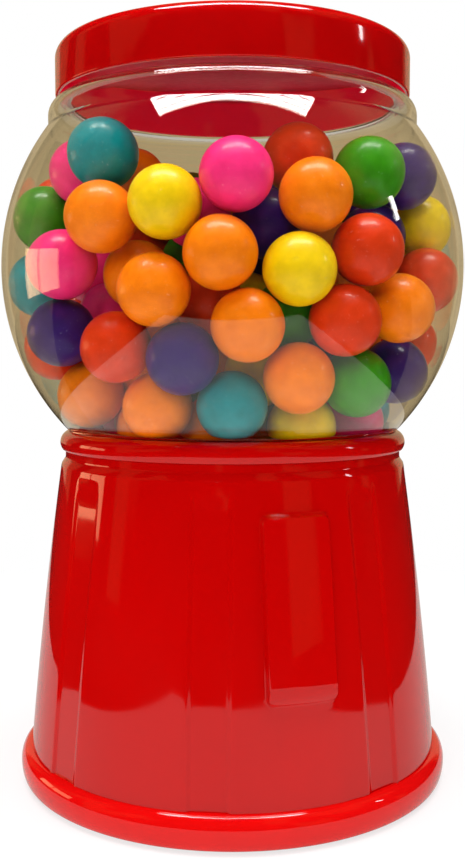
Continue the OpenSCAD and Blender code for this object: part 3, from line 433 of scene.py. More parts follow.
def arc(centre_r, centre_z, radius, start, end, steps, height=None):
    """Points of an arc, angles in degrees from +r towards +z; height makes it an ellipse's."""
    return [(centre_r + radius * cos(start + (end - start) * k / steps),
             centre_z + (height or radius) * sin(start + (end - start) * k / steps))
            for k in range(steps + 1)]


@contextlib.contextmanager
def cells_of(mesh):
    """A mesh's cells for editing, written back at the end."""
    cells = bmesh.new()
    cells.from_mesh(mesh)
    yield cells
    cells.to_mesh(mesh)
    cells.free()
    mesh.update()


def quads_between(low, high):
    """Faces between two closed rows with the same number of points."""
    return [[low[k], low[(k + 1) % len(low)], high[(k + 1) % len(low)], high[k]]
            for k in range(len(low))]


def put_in(data, name):
    """A new object in the scene, at the origin, with this mesh, lamp or camera."""
    made = bpy.data.objects.new(name, data)
    bpy.context.scene.collection.objects.link(made)
    return made


def mesh_from(points_mm, faces, name):
    """An object at the origin, from points in mm; its faces are turned outwards."""
    mesh = bpy.data.meshes.new(name)
    mesh.from_pydata([tuple(c * MM for c in p) for p in points_mm], [], faces)
    made = put_in(mesh, name)
    with cells_of(mesh) as cells:
        bmesh.ops.remove_doubles(cells, verts=cells.verts, dist=SAME_PLACE)
        bmesh.ops.recalc_face_normals(cells, faces=cells.faces)
    return made


def lathe(profile, name, steps=None, closed=True):
    """Turns a profile of (r, z) in millimetres about the axis. A closed profile makes a ring;
    an open one starts and ends on the axis."""
    steps = steps or sizes().round_steps
    points, faces, rows = [], [], []
    for r, z in profile:
        if r < 1e-6:
            rows.append([len(points)] * steps)
            points.append((0.0, 0.0, z))
            continue
        rows.append(list(range(len(points), len(points) + steps)))
        for k in range(steps):
            angle = 360 * k / steps
            points.append((r * sin(angle), -r * cos(angle), z))
    pairs = list(zip(rows, rows[1:])) + ([(rows[-1], rows[0])] if closed else [])
    for low, high in pairs:
        for face in quads_between(low, high):
            # on the axis a quad's edge shrinks to one point, and it becomes a triangle
            face = [v for i, v in enumerate(face) if v != face[i - 1]]
            if len(face) > 2:
                faces.append(face)
    return mesh_from(points, faces, name)


def bake_modifiers(obj):
    """Replaces an object's mesh with its evaluated one, and removes its modifiers."""
    bpy.context.view_layer.update()
    evaluated = obj.evaluated_get(bpy.context.evaluated_depsgraph_get())
    result = bpy.data.meshes.new_from_object(evaluated)
    obj.modifiers.clear()
    obj.data = result
    return obj


def boolean(obj, other, operation):
    """Joins or cuts two closed meshes, keeps the result as a plain mesh, and removes other."""
    change = obj.modifiers.new("cut", "BOOLEAN")
    change.operation = operation
    change.object = other
    change.solver = "EXACT"
    bake_modifiers(obj)
    bpy.data.objects.remove(other)


def smooth(obj, angle):
    """Shades an object smooth, with its edges sharper than an angle in degrees left sharp."""
    obj.data.shade_smooth()
    obj.data.set_sharp_from_angle(angle=math.radians(angle))
    return obj


def dress(obj, body, slot, replaced, material=None):
    """Gives a finished piece its material, named or else that of its slot, and its body, and hides
    the nodes it stands for.
    """
    obj.data.materials.clear()
    obj.data.materials.append(MATERIALS[material or slot])
    obj.data.polygons.foreach_set("material_index", [0] * len(obj.data.polygons))
    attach(obj, body)
    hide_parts(*replaced)


def rounded_copy(node, name, width_mm):
    """A copy of a CAD node, its flat faces whole again and its edges rounded."""
    made = put_in(NODES[node].data.copy(), name)
    with cells_of(made.data) as cells:
        bmesh.ops.remove_doubles(cells, verts=cells.verts, dist=2e-6)
        bmesh.ops.dissolve_limit(cells, angle_limit=math.radians(0.5), verts=cells.verts,
                                 edges=cells.edges)
    edge = made.modifiers.new("edges", "BEVEL")
    edge.width = width_mm * MM
    edge.segments = 3
    edge.limit_method = "ANGLE"
    edge.angle_limit = math.radians(35.0)
    return smooth(bake_modifiers(made), 40.0)


def islands(node):
    """The boxes of a CAD node's separate solids, as (lowest, highest) corners in metres."""
    cells = bmesh.new()
    cells.from_mesh(NODES[node].data)
    bmesh.ops.remove_doubles(cells, verts=cells.verts, dist=SAME_PLACE)
    found, seen = [], set()
    for vert in cells.verts:
        if vert.index in seen:
            continue
        seen.add(vert.index)
        stack, members = [vert], []
        while stack:
            at = stack.pop()
            members.append(tuple(at.co))
            for edge in at.link_edges:
                other = edge.other_vert(at)
                if other.index not in seen:
                    seen.add(other.index)
                    stack.append(other)
        co = np.array(members)
        found.append((co.min(0), co.max(0)))
    cells.free()
    return found


# ---- Geometry Nodes -------------------------------------------------------
def new_tree(name, **inputs):
    """A tree with a geometry in and out and inputs of these kinds, and its inputs' outputs."""
    tree = bpy.data.node_groups.new(name, "GeometryNodeTree")
    new = tree.interface.new_socket
    for key, kind in (("Geometry", "Geometry"), *inputs.items()):
        new(key, in_out="INPUT", socket_type="NodeSocket" + kind)
    new("Geometry", in_out="OUTPUT", socket_type="NodeSocketGeometry")
    return tree, add(tree, "NodeGroupInput", pick=None)


def set_on(tree, mesh, piece, turn):
    """Puts a real copy of a piece on each of a mesh's points."""
    cloud = add(tree, "GeometryNodeMeshToPoints", {"Mesh": mesh})
    copies = add(tree, "GeometryNodeInstanceOnPoints",
                 {"Points": cloud, "Instance": piece, "Rotation": turn})
    return add(tree, "GeometryNodeRealizeInstances", {"Geometry": copies})


def end_tree(tree, geometry, material):
    """Ends a tree in a geometry with its material."""
    done = add(tree, "GeometryNodeSetMaterial", {"Geometry": geometry, "Material": material})
    add(tree, "NodeGroupOutput", {"Geometry": done}, None)
    return tree


def gumball_tree():
    """Puts a slightly uneven ball on every point."""
    tree, given = new_tree("gumballs_on_points", Diameter="Float", Unevenness="Float",
                           Seed="Int", Finish="Material")
    seed, dent = given["Seed"], given["Unevenness"]
    inner = calc(tree, "SUBTRACT", calc(tree, "MULTIPLY", given["Diameter"], 0.5), dent)
    ball = add(tree, "GeometryNodeMeshIcoSphere", {"Radius": inner, "Subdivisions": 4})
    darkest, lightest, full_turn = 0.93, 1.06, 6.283
    tone = add(tree, "FunctionNodeRandomValue", {2: darkest, 3: lightest, "Seed": seed}, 1)
    toned = add(tree, "GeometryNodeStoreNamedAttribute",
                {"Geometry": given["Geometry"], "Name": TONE_NAME, "Value": tone})
    turn = add(tree, "FunctionNodeRandomValue",
               {0: (0.0, 0.0, 0.0), 1: (full_turn,) * 3, "Seed": seed},
               data_type="FLOAT_VECTOR")
    balls = set_on(tree, toned, ball, turn)
    lumps = add(tree, "TexNoise", {"Scale": 70.0, "Detail": 0.0})
    normal, height = add(tree, "GeometryNodeInputNormal"), calc(tree, "MULTIPLY", lumps, dent)
    offset = add(tree, "VectorMath", {0: normal, "Scale": height}, operation="SCALE")
    uneven = add(tree, "GeometryNodeSetPosition", {"Geometry": balls, "Offset": offset})
    even = add(tree, "GeometryNodeSetShadeSmooth", {0: uneven})
    return end_tree(tree, even, given["Finish"])


def fastener_tree():
    """Puts a fastener on every point, its axis along the given direction."""
    tree, given = new_tree("fasteners_on_points", Fastener="Object", Direction="Vector",
                           Finish="Material")
    piece = add(tree, "GeometryNodeObjectInfo", {"Object": given["Fastener"]}, "Geometry")
    aim = add(tree, "FunctionNodeAlignRotationToVector", {"Vector": given["Direction"]}, axis="Z")
    # every screw stops at its own angle; a cross looks the same after a quarter turn
    twist = add(tree, "FunctionNodeRandomValue", {2: 0.0, 3: 1.4, "Seed": 4}, 1)
    spin = add(tree, "FunctionNodeAxisAngleToRotation", {"Axis": (0.0, 0.0, 1.0), "Angle": twist})
    turned = add(tree, "FunctionNodeRotateRotation", {0: aim, 1: spin}, rotation_space="LOCAL")
    return end_tree(tree, set_on(tree, given["Geometry"], piece, turned), given["Finish"])


def grow(places, name, tree, **inputs):
    """Runs a tree on points, given in metres, and keeps the result as a plain mesh."""
    mesh = bpy.data.meshes.new(name)
    mesh.from_pydata([tuple(p) for p in places], [], [])
    made = put_in(mesh, name)
    change = made.modifiers.new("pieces", "NODES")
    change.node_group = tree
    for key, value in inputs.items():
        change[tree.interface.items_tree[key].identifier] = value
    return bake_modifiers(made)


# ---- Operators: one for each piece or group of like pieces ----------------
class BuildLid(bpy.types.Operator):
    """Builds the screw lid."""

    bl_idname = "gumball.lid"
    bl_label = "Lid"

    # mm: the side wall, the roof at its edge, the chamfer inside, and how far the top swells
    wall, roof, chamfer, swell = 1.8, 2.2, 1.0, 0.8
    # points on the swollen top: share of the flat radius, and height above the edge
    crown = ((0.65, 0.46), (0.3, 0.73))

    def execute(self, context):
        low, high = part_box("lid")
        z0, top = low.z / MM, high.z / MM
        edge, radius, corner = top - self.swell, mm("lid_radius"), mm("lid_corner")
        bore, ceiling, flat = radius - self.wall, edge - self.roof, radius - corner
        profile = [(0, ceiling), (bore - self.chamfer, ceiling)]
        profile += rounded([(bore, ceiling - self.chamfer, 0), (bore, z0, 0.5),
                            (radius, z0, 0.6), (radius, edge - corner, 0)], 3)[:-1]
        profile += arc(flat, edge - corner, corner, 0, 84, 12)
        profile += [(share * flat, edge + rise) for share, rise in self.crown] + [(0, top)]
        lid = smooth(lathe(profile, "screw_lid", closed=False), 40.0)
        dress(lid, "lid", "red_plastic", ["lid"], "lid_red")
        return {"FINISHED"}


class BuildGlobe(bpy.types.Operator):
    """Builds the clear globe with its support ring, mouth and spigot."""

    bl_idname = "gumball.globe"
    bl_label = "Globe"

    # mm: where the sphere ends below, and the spigot's and the mouth's radii
    seat_z, spigot_r, mouth_r = 134.6, 62.0, 63.0
    # mm: the support ring's height, its flat step, and where the mouth is straight inside
    ring_side, ring_step, neck_low = 4.0, 1.2, 8.6

    def sphere(self, radius, z_from, r_to):
        """The sphere's profile from a height below its middle to a radius above it."""
        middle = mm("globe_centre")
        start = math.degrees(math.asin((z_from - middle) / radius))
        return arc(0, middle, radius, start, math.degrees(math.acos(r_to / radius)), 72)

    def execute(self, context):
        low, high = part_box("globe")
        foot, rim = low.z / MM, high.z / MM
        big, wall, ring = mm("globe_radius"), mm("glass_wall"), mm("ring_radius")
        mouth, spigot, seat = self.mouth_r, self.spigot_r, self.seat_z
        bulge = ring - mouth - self.ring_step
        outer = [(spigot, foot), (spigot, seat)] + self.sphere(big, seat, ring)
        shoulder_z = outer[-1][1]
        side_z = shoulder_z + self.ring_side
        outer += arc(ring - bulge, side_z, bulge, 0, 90, 10)
        outer += [(mouth, side_z + bulge), (mouth, rim)]
        inner = [(mouth - wall, rim), (mouth - wall, shoulder_z + self.neck_low)]
        inner += arc(ring - bulge, side_z, bulge - wall, 90, 0, 8)[1:]
        inner += self.sphere(big - wall, seat + wall, ring - wall)[::-1]
        inner += [(spigot - wall, seat), (spigot - wall, foot)]
        globe = smooth(lathe(outer + inner, "clear_globe"), 45.0)
        dress(globe, "base", "clear_plastic", ["globe"])
        return {"FINISHED"}


def held(t):
    return min(1.0, max(0.0, t))


def smooth_step(t):
    t = held(t)
    return t * t * (3 - 2 * t)


def turned_from(bearing, centre):
    """The angle from one bearing to another, between -180 and 180 degrees."""
    return (bearing - centre + 180) % 360 - 180


class BuildBaseShell(bpy.types.Operator):
    """Builds the fluted cone with its collar, raised panel and coin housing."""

    bl_idname = "gumball.base_shell"
    bl_label = "Base shell"

    # heights and radii in mm: the cone, the skirt below it, the deck under the globe, the
    # collar's bead and the globe's seat
    foot_z, shoulder_z, neck_z, neck_top = 12.8, 121.4, 124.0, 129.0
    skirt_z, skirt_r, skirt_bore, cavity_z = 4.7, 76.6, 74.2, 15.2
    deck_low, deck_top, deck_hole = 119.4, 122.4, 57.1
    bead_r, bead_z, bead_round = 62.8, 130.2, 4.4
    seat_r, seat_z = 62.2, 134.6
    # mm that the cone's rounded top edge falls in, at 1 mm above the shoulder, and how far the
    # neck above it is further in
    edge_fall, neck_in = 0.16, 1.3
    # each flute's bearing, and the number of even steps that follow it
    flutes = ((24.0, 13), (68.0, 13), (112.0, 57), (248.0, 13), (292.0, 13), (336.0, 0))
    flute_half, flute_top, flute_low, flute_corner = 7.9, 121.0, -50.0, 3.0
    panel_half, panel_low, panel_high, panel_corner = 12.75, 47.0, 111.0, 3.5
    # mm: how far the panel stands out at its top, and how much further at its foot
    panel_proud, panel_lean = 2.0, 1.2
    # degrees either side of a flute and of the panel that their forms keep within
    flute_reach, panel_reach = 12, 20
    # distances from a flute's and from the panel's middle line, where the mesh follows it
    flute_x = [9.6, 8.7] + [8.0 - 0.3 * i for i in range(10)] + [4.4, 3.0, 1.5]
    panel_x = ([15.5, 14.4, 13.4] + [12.75 - 0.25 * i for i in range(8)]
               + [10.3, 9.6, 8.6, 6.4, 4.2, 2.1])
    # closer rows at the panel's foot, its top and the flutes' tops: start, step and number
    fine_rows = ((46.7, 0.6, 18), (106.7, 0.4, 13), (115.7, 0.4, 15))
    even_rows, least_step = 56, 0.15

    def cone(self, z):
        top, foot = mm("cone_top"), mm("cone_foot")
        return foot - (foot - top) * (z - self.foot_z) / (self.neck_z - self.foot_z)

    def inside(self, x, z, half, top, low, corner):
        """How far a place lies inside a window with rounded corners, in mm."""
        dx, dz = abs(x) - (half - corner), abs(z - (top + low) / 2) - (top - low) / 2 + corner
        return corner - math.hypot(max(dx, 0), max(dz, 0)) - min(max(dx, dz), 0)

    def relief(self, bearing, z):
        """How far the skin stands out of the cone, in mm, at a bearing in degrees."""
        r = self.cone(z)
        t = (z - self.foot_z) / (self.neck_z - self.foot_z)
        out = 4 * mm("barrel") * t * (1 - t)
        out -= self.edge_fall * max(0.0, z - self.shoulder_z) ** 2
        for centre, _ in self.flutes:
            turn = turned_from(bearing, centre)
            if abs(turn) < self.flute_reach:
                x = r * sin(turn)
                depth = self.inside(x, z, self.flute_half, self.flute_top, self.flute_low,
                                    self.flute_corner)
                # the flute's floor is flat across
                floor = mm("flute_depth") - x * x / (2 * r)
                fade = smooth_step((self.flute_top - z) / mm("flute_fade"))
                out -= floor * fade * smooth_step(depth / mm("flute_edge"))
        turn = turned_from(bearing, 0.0)
        if abs(turn) < self.panel_reach:
            depth = self.inside(r * sin(turn), z, self.panel_half, self.panel_high,
                                self.panel_low, self.panel_corner)
            side = smooth_step(depth / mm("panel_edge"))
            foot = held((z - self.panel_low) / mm("panel_ramp"))
            lean = self.panel_lean * (self.panel_high - z) / (self.panel_high - self.panel_low)
            out += (self.panel_proud + lean) * min(side, foot * (2 - foot))
        return out

    def bearings(self, z):
        """Bearings round the skin at a height: they follow the straight sides of the flutes
        and the panel, and are 2 degrees apart elsewhere."""
        r = self.cone(z)

        def follow(centre, distances):
            half = [-x for x in distances] + [0.0] + distances[::-1]
            return [centre + math.degrees(math.asin(x / r)) for x in half]

        found = follow(0.0, self.panel_x)
        for centre, steps in self.flutes:
            found += follow(centre, self.flute_x)
            found += [centre + 10 + 2 * i for i in range(steps)]
        return found

    def rows(self):
        """Heights of the skin's rows, with none closer than least_step."""
        step = (self.neck_z - self.foot_z) / self.even_rows
        found = [self.foot_z + i * step for i in range(self.even_rows + 1)]
        for start, step, number in self.fine_rows:
            found += [start + step * i for i in range(number)]
        found.sort()
        return [z for z, after in zip(found, found[1:] + [math.inf])
                if after - z > self.least_step]

    def execute(self, context):
        wall = mm("shell_wall")
        # a radius of None is the skin's own
        profile = [(self.skirt_bore, self.skirt_z), (self.skirt_r, self.skirt_z),
                   (self.skirt_r, self.foot_z)]
        profile += [(None, z) for z in self.rows()]
        neck_r = mm("cone_top") - self.neck_in
        profile += [(neck_r + 0.05, self.neck_z + 0.3), (neck_r, self.neck_z + 0.9),
                    (neck_r, self.neck_top)]
        profile += arc(self.bead_r, self.bead_z, self.bead_round, -38, 90, 16)
        profile += [(self.seat_r, self.seat_z), (self.seat_r, self.deck_top),
                    (self.deck_hole, self.deck_top), (self.deck_hole, self.deck_low),
                    (self.cone(self.deck_low) - wall, self.deck_low),
                    (self.cone(self.cavity_z) - wall, self.cavity_z),
                    (self.skirt_bore, self.cavity_z)]
        points, faces, rings = [], [], []
        for r, z in profile:
            ring = []
            for b in self.bearings(min(max(z, self.foot_z), self.neck_z)):
                radius = r if r is not None else self.cone(z) + self.relief(b, z)
                ring.append(len(points))
                points.append((radius * sin(b), -radius * cos(b), z))
            rings.append(ring)
        for low, high in zip(rings, rings[1:] + rings[:1]):
            faces += quads_between(low, high)
        shell = mesh_from(points, faces, "fluted_base")
        self.add_housing(shell, wall)
        self.clear_cavity(shell, wall)
        smooth(shell, 28.0)
        dress(shell, "base", "red_plastic", ["base_shell"], "base_red")
        return {"FINISHED"}

    def window(self, name, half_w, low, high, corner, y0, y1, edge=0.0):
        """A rounded window's block along Y, its outer edge rounded by edge."""
        corners = ((1, low + corner, 270), (1, high - corner, 0),
                   (-1, high - corner, 90), (-1, low + corner, 180))
        rings = [(y0, 0.0), (y1 - edge, 0.0)]
        if edge:
            rings += [(y1 - edge * (1 - sin(a)), edge * (1 - cos(a))) for a in (30, 60, 90)]
        points, rows = [], []
        for y, inset in rings:
            first = len(points)
            for side, height, start in corners:
                points += [(x, y, z) for x, z in arc(side * (half_w - corner), height,
                                                     corner - inset, start, start + 90, 10)]
            rows.append(list(range(first, len(points))))
        faces = []
        for near, far in zip(rows, rows[1:]):
            faces += quads_between(near, far)
        return mesh_from(points, faces + [rows[0], rows[-1]], name)

    def clear_cavity(self, shell, wall):
        """Deletes what the opening's blocks leave in the empty space inside the shell."""
        lowest, highest, clearance = 20.0, 118.5, 1.0
        with cells_of(shell.data) as cells:
            stray = []
            for vert in cells.verts:
                x, y, z = (c / MM for c in vert.co)
                if lowest < z < highest and math.hypot(x, y) < self.cone(z) - wall - clearance:
                    stray.append(vert)
            bmesh.ops.delete(cells, geom=stray, context="VERTS")

    def add_housing(self, shell, wall):
        """Joins the coin mechanism's housing to the shell and cuts its opening."""
        low, high, half, corner, edge = 21.4, 120.6, 30.1, 6.0, 0.8
        back_y, front_y = 44.0, 84.5
        housing = self.window("housing", half, low, high, corner, back_y, front_y, edge)
        # the core is the cone's inside, and goes beyond the housing below and above
        under, over = 5.0, 130.0
        core = lathe([(0, under), (self.cone(under) - wall, under),
                      (self.cone(over) - wall, over), (0, over)], "core", closed=False)
        boolean(housing, core, "DIFFERENCE")
        boolean(shell, housing, "UNION")
        # the recess of the coin plate, and a cross-shaped opening behind it: a post stays in
        # each corner, round the plate's screw
        screw_x, beyond_screw = 23.3, 3.3
        post = half - wall - screw_x + beyond_screw
        half, low, high = half - wall, low + wall, high - wall
        recess, opening = (3.6, 81.9, 86.0), (0.8, 40.0, 82.5)  # corner, from y and to y
        for args in ((half, low, high, *recess), (half - post, low, high, *opening),
                     (half, low + post, high - post, *opening)):
            boolean(shell, self.window("opening", *args), "DIFFERENCE")


class BuildFootRing(bpy.types.Operator):
    """Builds the round foot ring."""

    bl_idname = "gumball.foot_ring"
    bl_label = "Foot ring"

    # mm: the bore, the lip that stands round the bottom plate, where the rounded side starts
    # below, the widest place's height, the plate's height and the lip's chamfer
    bore, lip_r, under_r, widest_z, plate_z, chamfer = 76.7, 79.8, 81.4, 7.2, 4.7, 0.3

    def execute(self, context):
        low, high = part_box("foot_ring")
        z0, z1, widest = low.z / MM, high.z / MM, high.x / MM
        profile = [(self.bore, self.plate_z), (self.lip_r, self.plate_z),
                   (self.lip_r, z0 + self.chamfer), (self.lip_r + self.chamfer, z0)]
        for r, start, end, height in ((self.under_r, -84, 0, self.widest_z - z0),
                                      (mm("cone_foot"), 6, 90, z1 - self.widest_z)):
            profile += arc(r, self.widest_z, widest - r, start, end, 14, height)
        ring = smooth(lathe(profile + [(self.bore, z1)], "round_foot_ring"), 45.0)
        dress(ring, "base", "red_plastic", ["foot_ring"], "ring_red_painted_light")
        return {"FINISHED"}


class BuildGumballs(bpy.types.Operator):
    """Builds the gumballs in the globe and in the wheel's pockets."""

    bl_idname = "gumball.gumballs"
    bl_label = "Gumballs"

    def execute(self, context):
        tree = gumball_tree()
        sets = [(name, "gumballs_" + name, "base", name) for name in GUM_COLOURS]
        sets.append(("pocket", "pocket_gumballs", "wheel", "orange"))
        for seed, (name, node, body, shell) in enumerate(sets, 1):
            places = [(low + high) / 2 for low, high in islands(node)]
            balls = grow(places, "gum_" + name + "_balls", tree,
                         Diameter=sizes().ball_diameter, Unevenness=sizes().ball_dent,
                         Seed=seed, Finish=MATERIALS["gum_" + shell])
            dress(balls, body, "gum_" + shell, [node])
        return {"FINISHED"}


class BuildFasteners(bpy.types.Operator):
    """Builds the cross-recessed screws."""

    bl_idname = "gumball.fasteners"
    bl_label = "Screws"

    # mm: the tip's, the shank's and the head's radius, the tip's length, the head's height, and
    # what the tip stays short by
    tip_r, shank_r, head_r, tip_z, head_z, tip_gap = 0.9, 1.45, 2.75, 1.6, 1.5, 0.02
    # a recess bar's half width and half length in mm, and its height and taper at each end
    bar_half, bar_reach, bar_ends = 0.35, 1.5, ((0.6, 0.55), (1.7, 1.0))

    def screw(self, shank):
        """A pan-head screw with a cross recess, its seat at the origin and its head up."""
        profile = rounded([(self.tip_r, -shank, 0.3), (self.shank_r, self.tip_z - shank, 0.2),
                           (self.shank_r, 0, 0.0), (self.head_r, 0, 0.15),
                           (self.head_r, 0.7, 0.6), (1.9, 1.48, 1.2)], 3)
        profile = [(0, -shank)] + profile + [(0, self.head_z)]
        screw = lathe(profile, "screw_pattern", 32, closed=False)
        for turn in (0, 90):
            boolean(screw, self.bar(turn), "DIFFERENCE")
        return smooth(screw, 35.0)

    def bar(self, turn):
        """One bar of the cross recess."""
        w, points = self.bar_half, []
        for z, taper in self.bar_ends:
            reach = self.bar_reach * taper
            for x, y in ((-reach, -w), (reach, -w), (reach, w), (-reach, w)):
                points.append((x * cos(turn) - y * sin(turn), x * sin(turn) + y * cos(turn), z))
        foot, top = [0, 1, 2, 3], [4, 5, 6, 7]
        return mesh_from(points, [foot, top] + quads_between(foot, top), "recess")

    def execute(self, context):
        tree = fastener_tree()
        # the way that each set's heads point
        out, down, back = (0.0, 1.0, 0.0), (0.0, 0.0, -1.0), (0.0, -1.0, 0.0)
        for node, way in (("plate_screws", out), ("base_screws", down), ("hopper_screws", down),
                          ("chute_screws", back), ("bracket_screws", back)):
            boxes = islands(node)
            axis = 1 if way[1] else 2
            sign = way[axis]
            low, high = boxes[0]
            pattern = self.screw((high[axis] - low[axis]) / MM - self.head_z - self.tip_gap)
            seats = []
            for low, high in boxes:
                seat = (low + high) / 2
                seat[axis] = (high if sign > 0 else low)[axis] - sign * self.head_z * MM
                seats.append(seat)
            made = grow(seats, "cross_" + node, tree, Fastener=pattern, Direction=way,
                        Finish=MATERIALS["zinc_steel"])
            bpy.data.objects.remove(pattern)
            dress(made, "base", "zinc_steel", [node])
        return {"FINISHED"}


class BuildCoinFront(bpy.types.Operator):
    """Builds the coin plate, the knob and the chute's flap with rounded edges."""

    bl_idname = "gumball.coin_front"
    bl_label = "Coin plate, knob and flap"

    def execute(self, context):
        for node, name, body, width_mm in (("front_plate", "coin_plate", "base", 0.5),
                                           ("knob", "turn_knob", "knob", 0.8),
                                           ("chute_flap", "flap_door", "flap", 0.35)):
            dress(rounded_copy(node, name, width_mm), body, "plate_chrome", [node])
        return {"FINISHED"}


class FinishFrameParts(bpy.types.Operator):
    """Gives the nodes that stay as they are their finishes."""

    bl_idname = "gumball.frame_parts"
    bl_label = "Inner and bottom parts"

    def execute(self, context):
        slots = {row["node"]: row["material_slot"] for row in frame["record"]["subparts"]}
        for name, node in NODES.items():
            if node.hide_render:
                continue
            node.data.materials.clear()
            node.data.materials.append(MATERIALS[slots[name]])
        return {"FINISHED"}


class BuildStage(bpy.types.Operator):
    """Builds the floor, the lamps, the surroundings and the camera."""

    bl_idname = "gumball.stage"
    bl_label = "Stage and camera"

    # the camera's turn about the machine and its downward tilt, in degrees, its place in metres
    # and its lens in mm
    view, tilt = 18.0, 4.38
    camera_back, camera_z, lens = 0.4221, 0.1664, 44.9

    def across(self, right, ahead, z):
        """A place given from the camera: metres to the right, away from the camera and up."""
        c, s = cos(self.view), sin(self.view)
        return Vector((right * c + ahead * s, -right * s + ahead * c, z))

    def along(self, tree, way, right, ahead):
        """How far a place or direction goes along one given from the camera."""
        return vector_calc(tree, "DOT_PRODUCT", way, tuple(self.across(right, ahead, 0)))

    def lamp(self, name, place, target, size, power, tint=(1.0, 1.0, 1.0), mirrored=True):
        """An area lamp; one that isn't mirrored lights the object and leaves no glint."""
        data = bpy.data.lights.new(name, "AREA")
        data.shape = "RECTANGLE"
        data.size, data.size_y = size
        data.energy = power
        data.color = tint
        made = put_in(data, name)
        made.location = place
        made.rotation_euler = (Vector(target) - place).to_track_quat("-Z", "Y").to_euler()
        made.visible_glossy = mirrored
        made.visible_transmission = mirrored
        return made

    def floor(self):
        """A pale floor; in its mirror image only the part beside and before the machine is lit."""
        wide = 1.6
        points = [tuple(c / MM for c in self.across(right, ahead, 0)) for right, ahead in
                  ((-wide, -wide), (wide, -wide), (wide, wide), (-wide, wide))]
        made = mesh_from(points, [[0, 1, 2, 3]], "pale_floor")
        material, tree = new_material("matt_white_floor")
        place = object_place(tree)
        rays = add(tree, "LightPath", pick=None)
        mirrored = reflected_or_bent(tree, rays)
        # near the machine the floor takes its shadow, further off it is plain white
        shadow_to, white_from, least_white = 0.10, 0.40, 0.72
        plain = ramp(tree, vector_calc(tree, "LENGTH", place), shadow_to, white_from,
                     least_white, 1.0)
        straight = calc(tree, "MULTIPLY", rays["Is Camera Ray"], plain)
        glow = calc(tree, "MAXIMUM", straight, mirrored)
        # the lit part of the mirror image: so far either side, and from so far before the middle
        half, near = 0.27, -0.45
        beside = calc(tree, "ABSOLUTE", self.along(tree, place, 1, 0))
        ahead = self.along(tree, place, 0, 1)
        lit = calc(tree, "MULTIPLY", calc(tree, "LESS_THAN", beside, half),
                   calc(tree, "GREATER_THAN", ahead, near))
        unlit_floor, lit_floor = (0.02, 0.015, 0.012, 1.0), (0.66, 0.64, 0.60, 1.0)
        mirror = blend(tree, lit, unlit_floor, lit_floor)
        # through the globe the floor behind the machine shows, in the colour of the room
        back_edge = 0.09
        beyond = calc(tree, "GREATER_THAN", ahead, back_edge)
        through = calc(tree, "MULTIPLY", rays["Is Transmission Ray"], beyond)
        image = blend(tree, through, mirror, opaque(colour_of("room")))
        white = add(tree, "Emission", {"Color": blend(tree, mirrored, WHITE, image)})
        paint = add(tree, "BsdfDiffuse", {"Color": opaque(colour_of("floor"))})
        show(tree, blend_shaders(tree, glow, paint, white))
        made.data.materials.append(material)

    def world(self, ambient):
        """White to the camera, even light for the object, and a room for gloss and globe."""
        made = bpy.data.worlds.new("studio")
        bpy.context.scene.world = made
        made.use_nodes = True
        tree = made.node_tree
        tree.nodes.clear()

        def glow(rgba, strength):
            return add(tree, "Background", {"Color": rgba, "Strength": strength})

        rays = add(tree, "LightPath", pick=None)
        mirrored = reflected_or_bent(tree, rays)
        # gloss and clear plastic show a beige wall behind, and a dim room with a few upright
        # shapes everywhere else; each pair of numbers is where a soft edge starts and ends
        wall_edge, globe_wall_edge, shape_edge = (0.76, 0.80), (0.1, 0.3), (0.55, 0.60)
        dim_room, dim_shape = (0.012, 0.010, 0.009, 1.0), (0.20, 0.11, 0.05, 1.0)
        way = add(tree, "TexCoord", pick="Generated")
        ahead = self.along(tree, way, 0, 1)
        wall = ramp(tree, ahead, *wall_edge)
        upright = add(tree, "Mapping", {"Vector": way, "Scale": (2.6, 2.6, 0.5)})
        shapes = add(tree, "TexNoise", {"Vector": upright, "Scale": 1.0, "Detail": 1.0})
        room = blend(tree, ramp(tree, shapes, *shape_edge), dim_room, dim_shape)
        # the globe shows the wall further round than gloss does
        through = calc(tree, "MULTIPLY", ramp(tree, ahead, *globe_wall_edge),
                       rays["Is Transmission Ray"])
        image = blend(tree, calc(tree, "MAXIMUM", wall, through), room,
                      opaque(colour_of("room")))
        warm_white = (1.0, 0.985, 0.965, 1.0)
        shiny = blend_shaders(tree, mirrored, glow(warm_white, ambient), glow(image, 1.0))
        show(tree, blend_shaders(tree, rays["Is Camera Ray"], shiny, glow(WHITE, 1.0)), "World")

    def lamps(self, studio):
        """Two soft lamps with no glint, and those that gloss and the globe show."""
        self.lamp("key", self.across(0.0, -0.10, 1.1), (0, 0, 0.1), (1.1, 0.9),
                  studio.key_power, mirrored=False)
        self.lamp("front", self.across(-0.3, -1.3, 0.75), (0, 0, 0.12), (0.6, 0.5),
                  studio.front_power, mirrored=False)
        # narrow lamps side by side, as in a louvred ceiling light, make a striped glint
        first, apart, up, louvre_size = -0.012, 0.048, 0.95, (0.72, 0.039)
        for k in range(4):
            ahead = first - apart * k
            louvre = self.lamp(f"louvre_{k}", self.across(0.0, ahead, up),
                               self.across(0.0, ahead, 0.0), louvre_size, studio.louvre_power)
            louvre.rotation_euler = (0.0, 0.0, -math.radians(self.view))
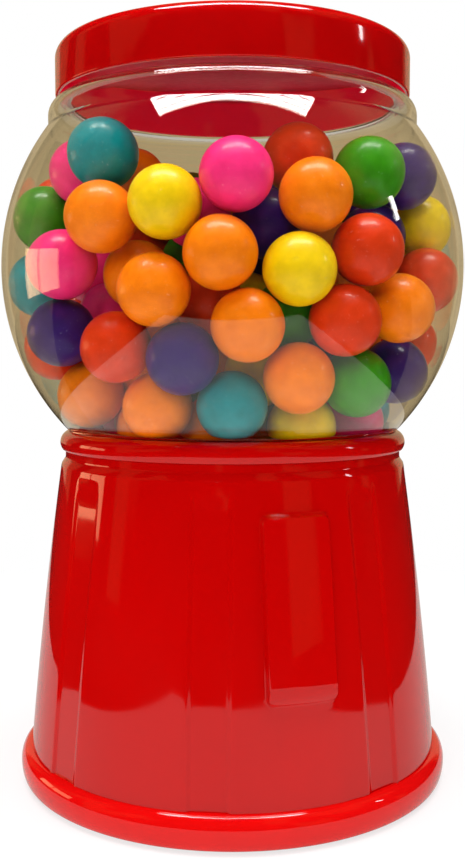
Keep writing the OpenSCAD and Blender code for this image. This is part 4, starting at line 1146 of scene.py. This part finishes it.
        # a wide and a narrow window pane at the left: degrees round from the camera, and width
        away, level, tall, dusk = 1.12, 0.22, 0.255, (1.0, 0.56, 0.30)
        for k, (turn, wide) in enumerate(((94.2, 0.275), (108.0, 0.225))):
            place = self.across(-away * sin(turn), -away * cos(turn), level)
            self.lamp(f"window_{k}", place, (0, 0, level), (wide, tall),
                      studio.window_power * wide, dusk)
        self.lamp("strip", self.across(1.1, -0.11, 0.625), (0, 0, 0.2), (0.045, 0.17),
                  studio.strip_power)

    def execute(self, context):
        studio = context.scene.gumball_studio
        self.floor()
        self.world(studio.ambient)
        self.lamps(studio)
        data = bpy.data.cameras.new("camera")
        data.lens = self.lens
        camera = put_in(data, "camera")
        camera.location = self.across(0.0, -self.camera_back, self.camera_z)
        camera.rotation_euler = [math.radians(a) for a in (90 - self.tilt, 0.0, -self.view)]
        context.scene.camera = camera
        context.scene.view_settings.view_transform = "Standard"
        return {"FINISHED"}


class GumballPanel(bpy.types.Panel):
    """Lists the pieces and the settings."""

    bl_idname = "VIEW3D_PT_gumball"
    bl_label = "Gumball machine"
    bl_space_type = "VIEW_3D"
    bl_region_type = "UI"
    bl_category = "Gumball"

    def draw(self, context):
        for piece in PIECES:
            self.layout.operator(piece.bl_idname)
        for group in GROUPS:
            settings = getattr(context.scene, group)
            for name in settings.__annotations__:
                self.layout.prop(settings, name)


PIECES = (BuildStage, BuildLid, BuildGlobe, BuildBaseShell, BuildFootRing, BuildGumballs,
          BuildFasteners, BuildCoinFront, FinishFrameParts)
GROUPS = {"gumball_sizes": GumballSizes, "gumball_colours": GumballColours,
          "gumball_studio": GumballStudio}


def register():
    for group in GROUPS.values():
        bpy.utils.register_class(group)
    for name, group in GROUPS.items():
        setattr(bpy.types.Scene, name, bpy.props.PointerProperty(type=group))
    for piece in PIECES:
        bpy.utils.register_class(piece)
    bpy.utils.register_class(GumballPanel)


def unregister():
    bpy.utils.unregister_class(GumballPanel)
    for piece in reversed(PIECES):
        bpy.utils.unregister_class(piece)
    for name, group in GROUPS.items():
        delattr(bpy.types.Scene, name)
        bpy.utils.unregister_class(group)


def main():
    """Builds everything in order."""
    register()
    MATERIALS.update(make_materials())
    for piece in PIECES:
        group, name = piece.bl_idname.split(".")
        getattr(getattr(bpy.ops, group), name)()
    bpy.context.view_layer.update()


if __name__ == "__main__":
    main()
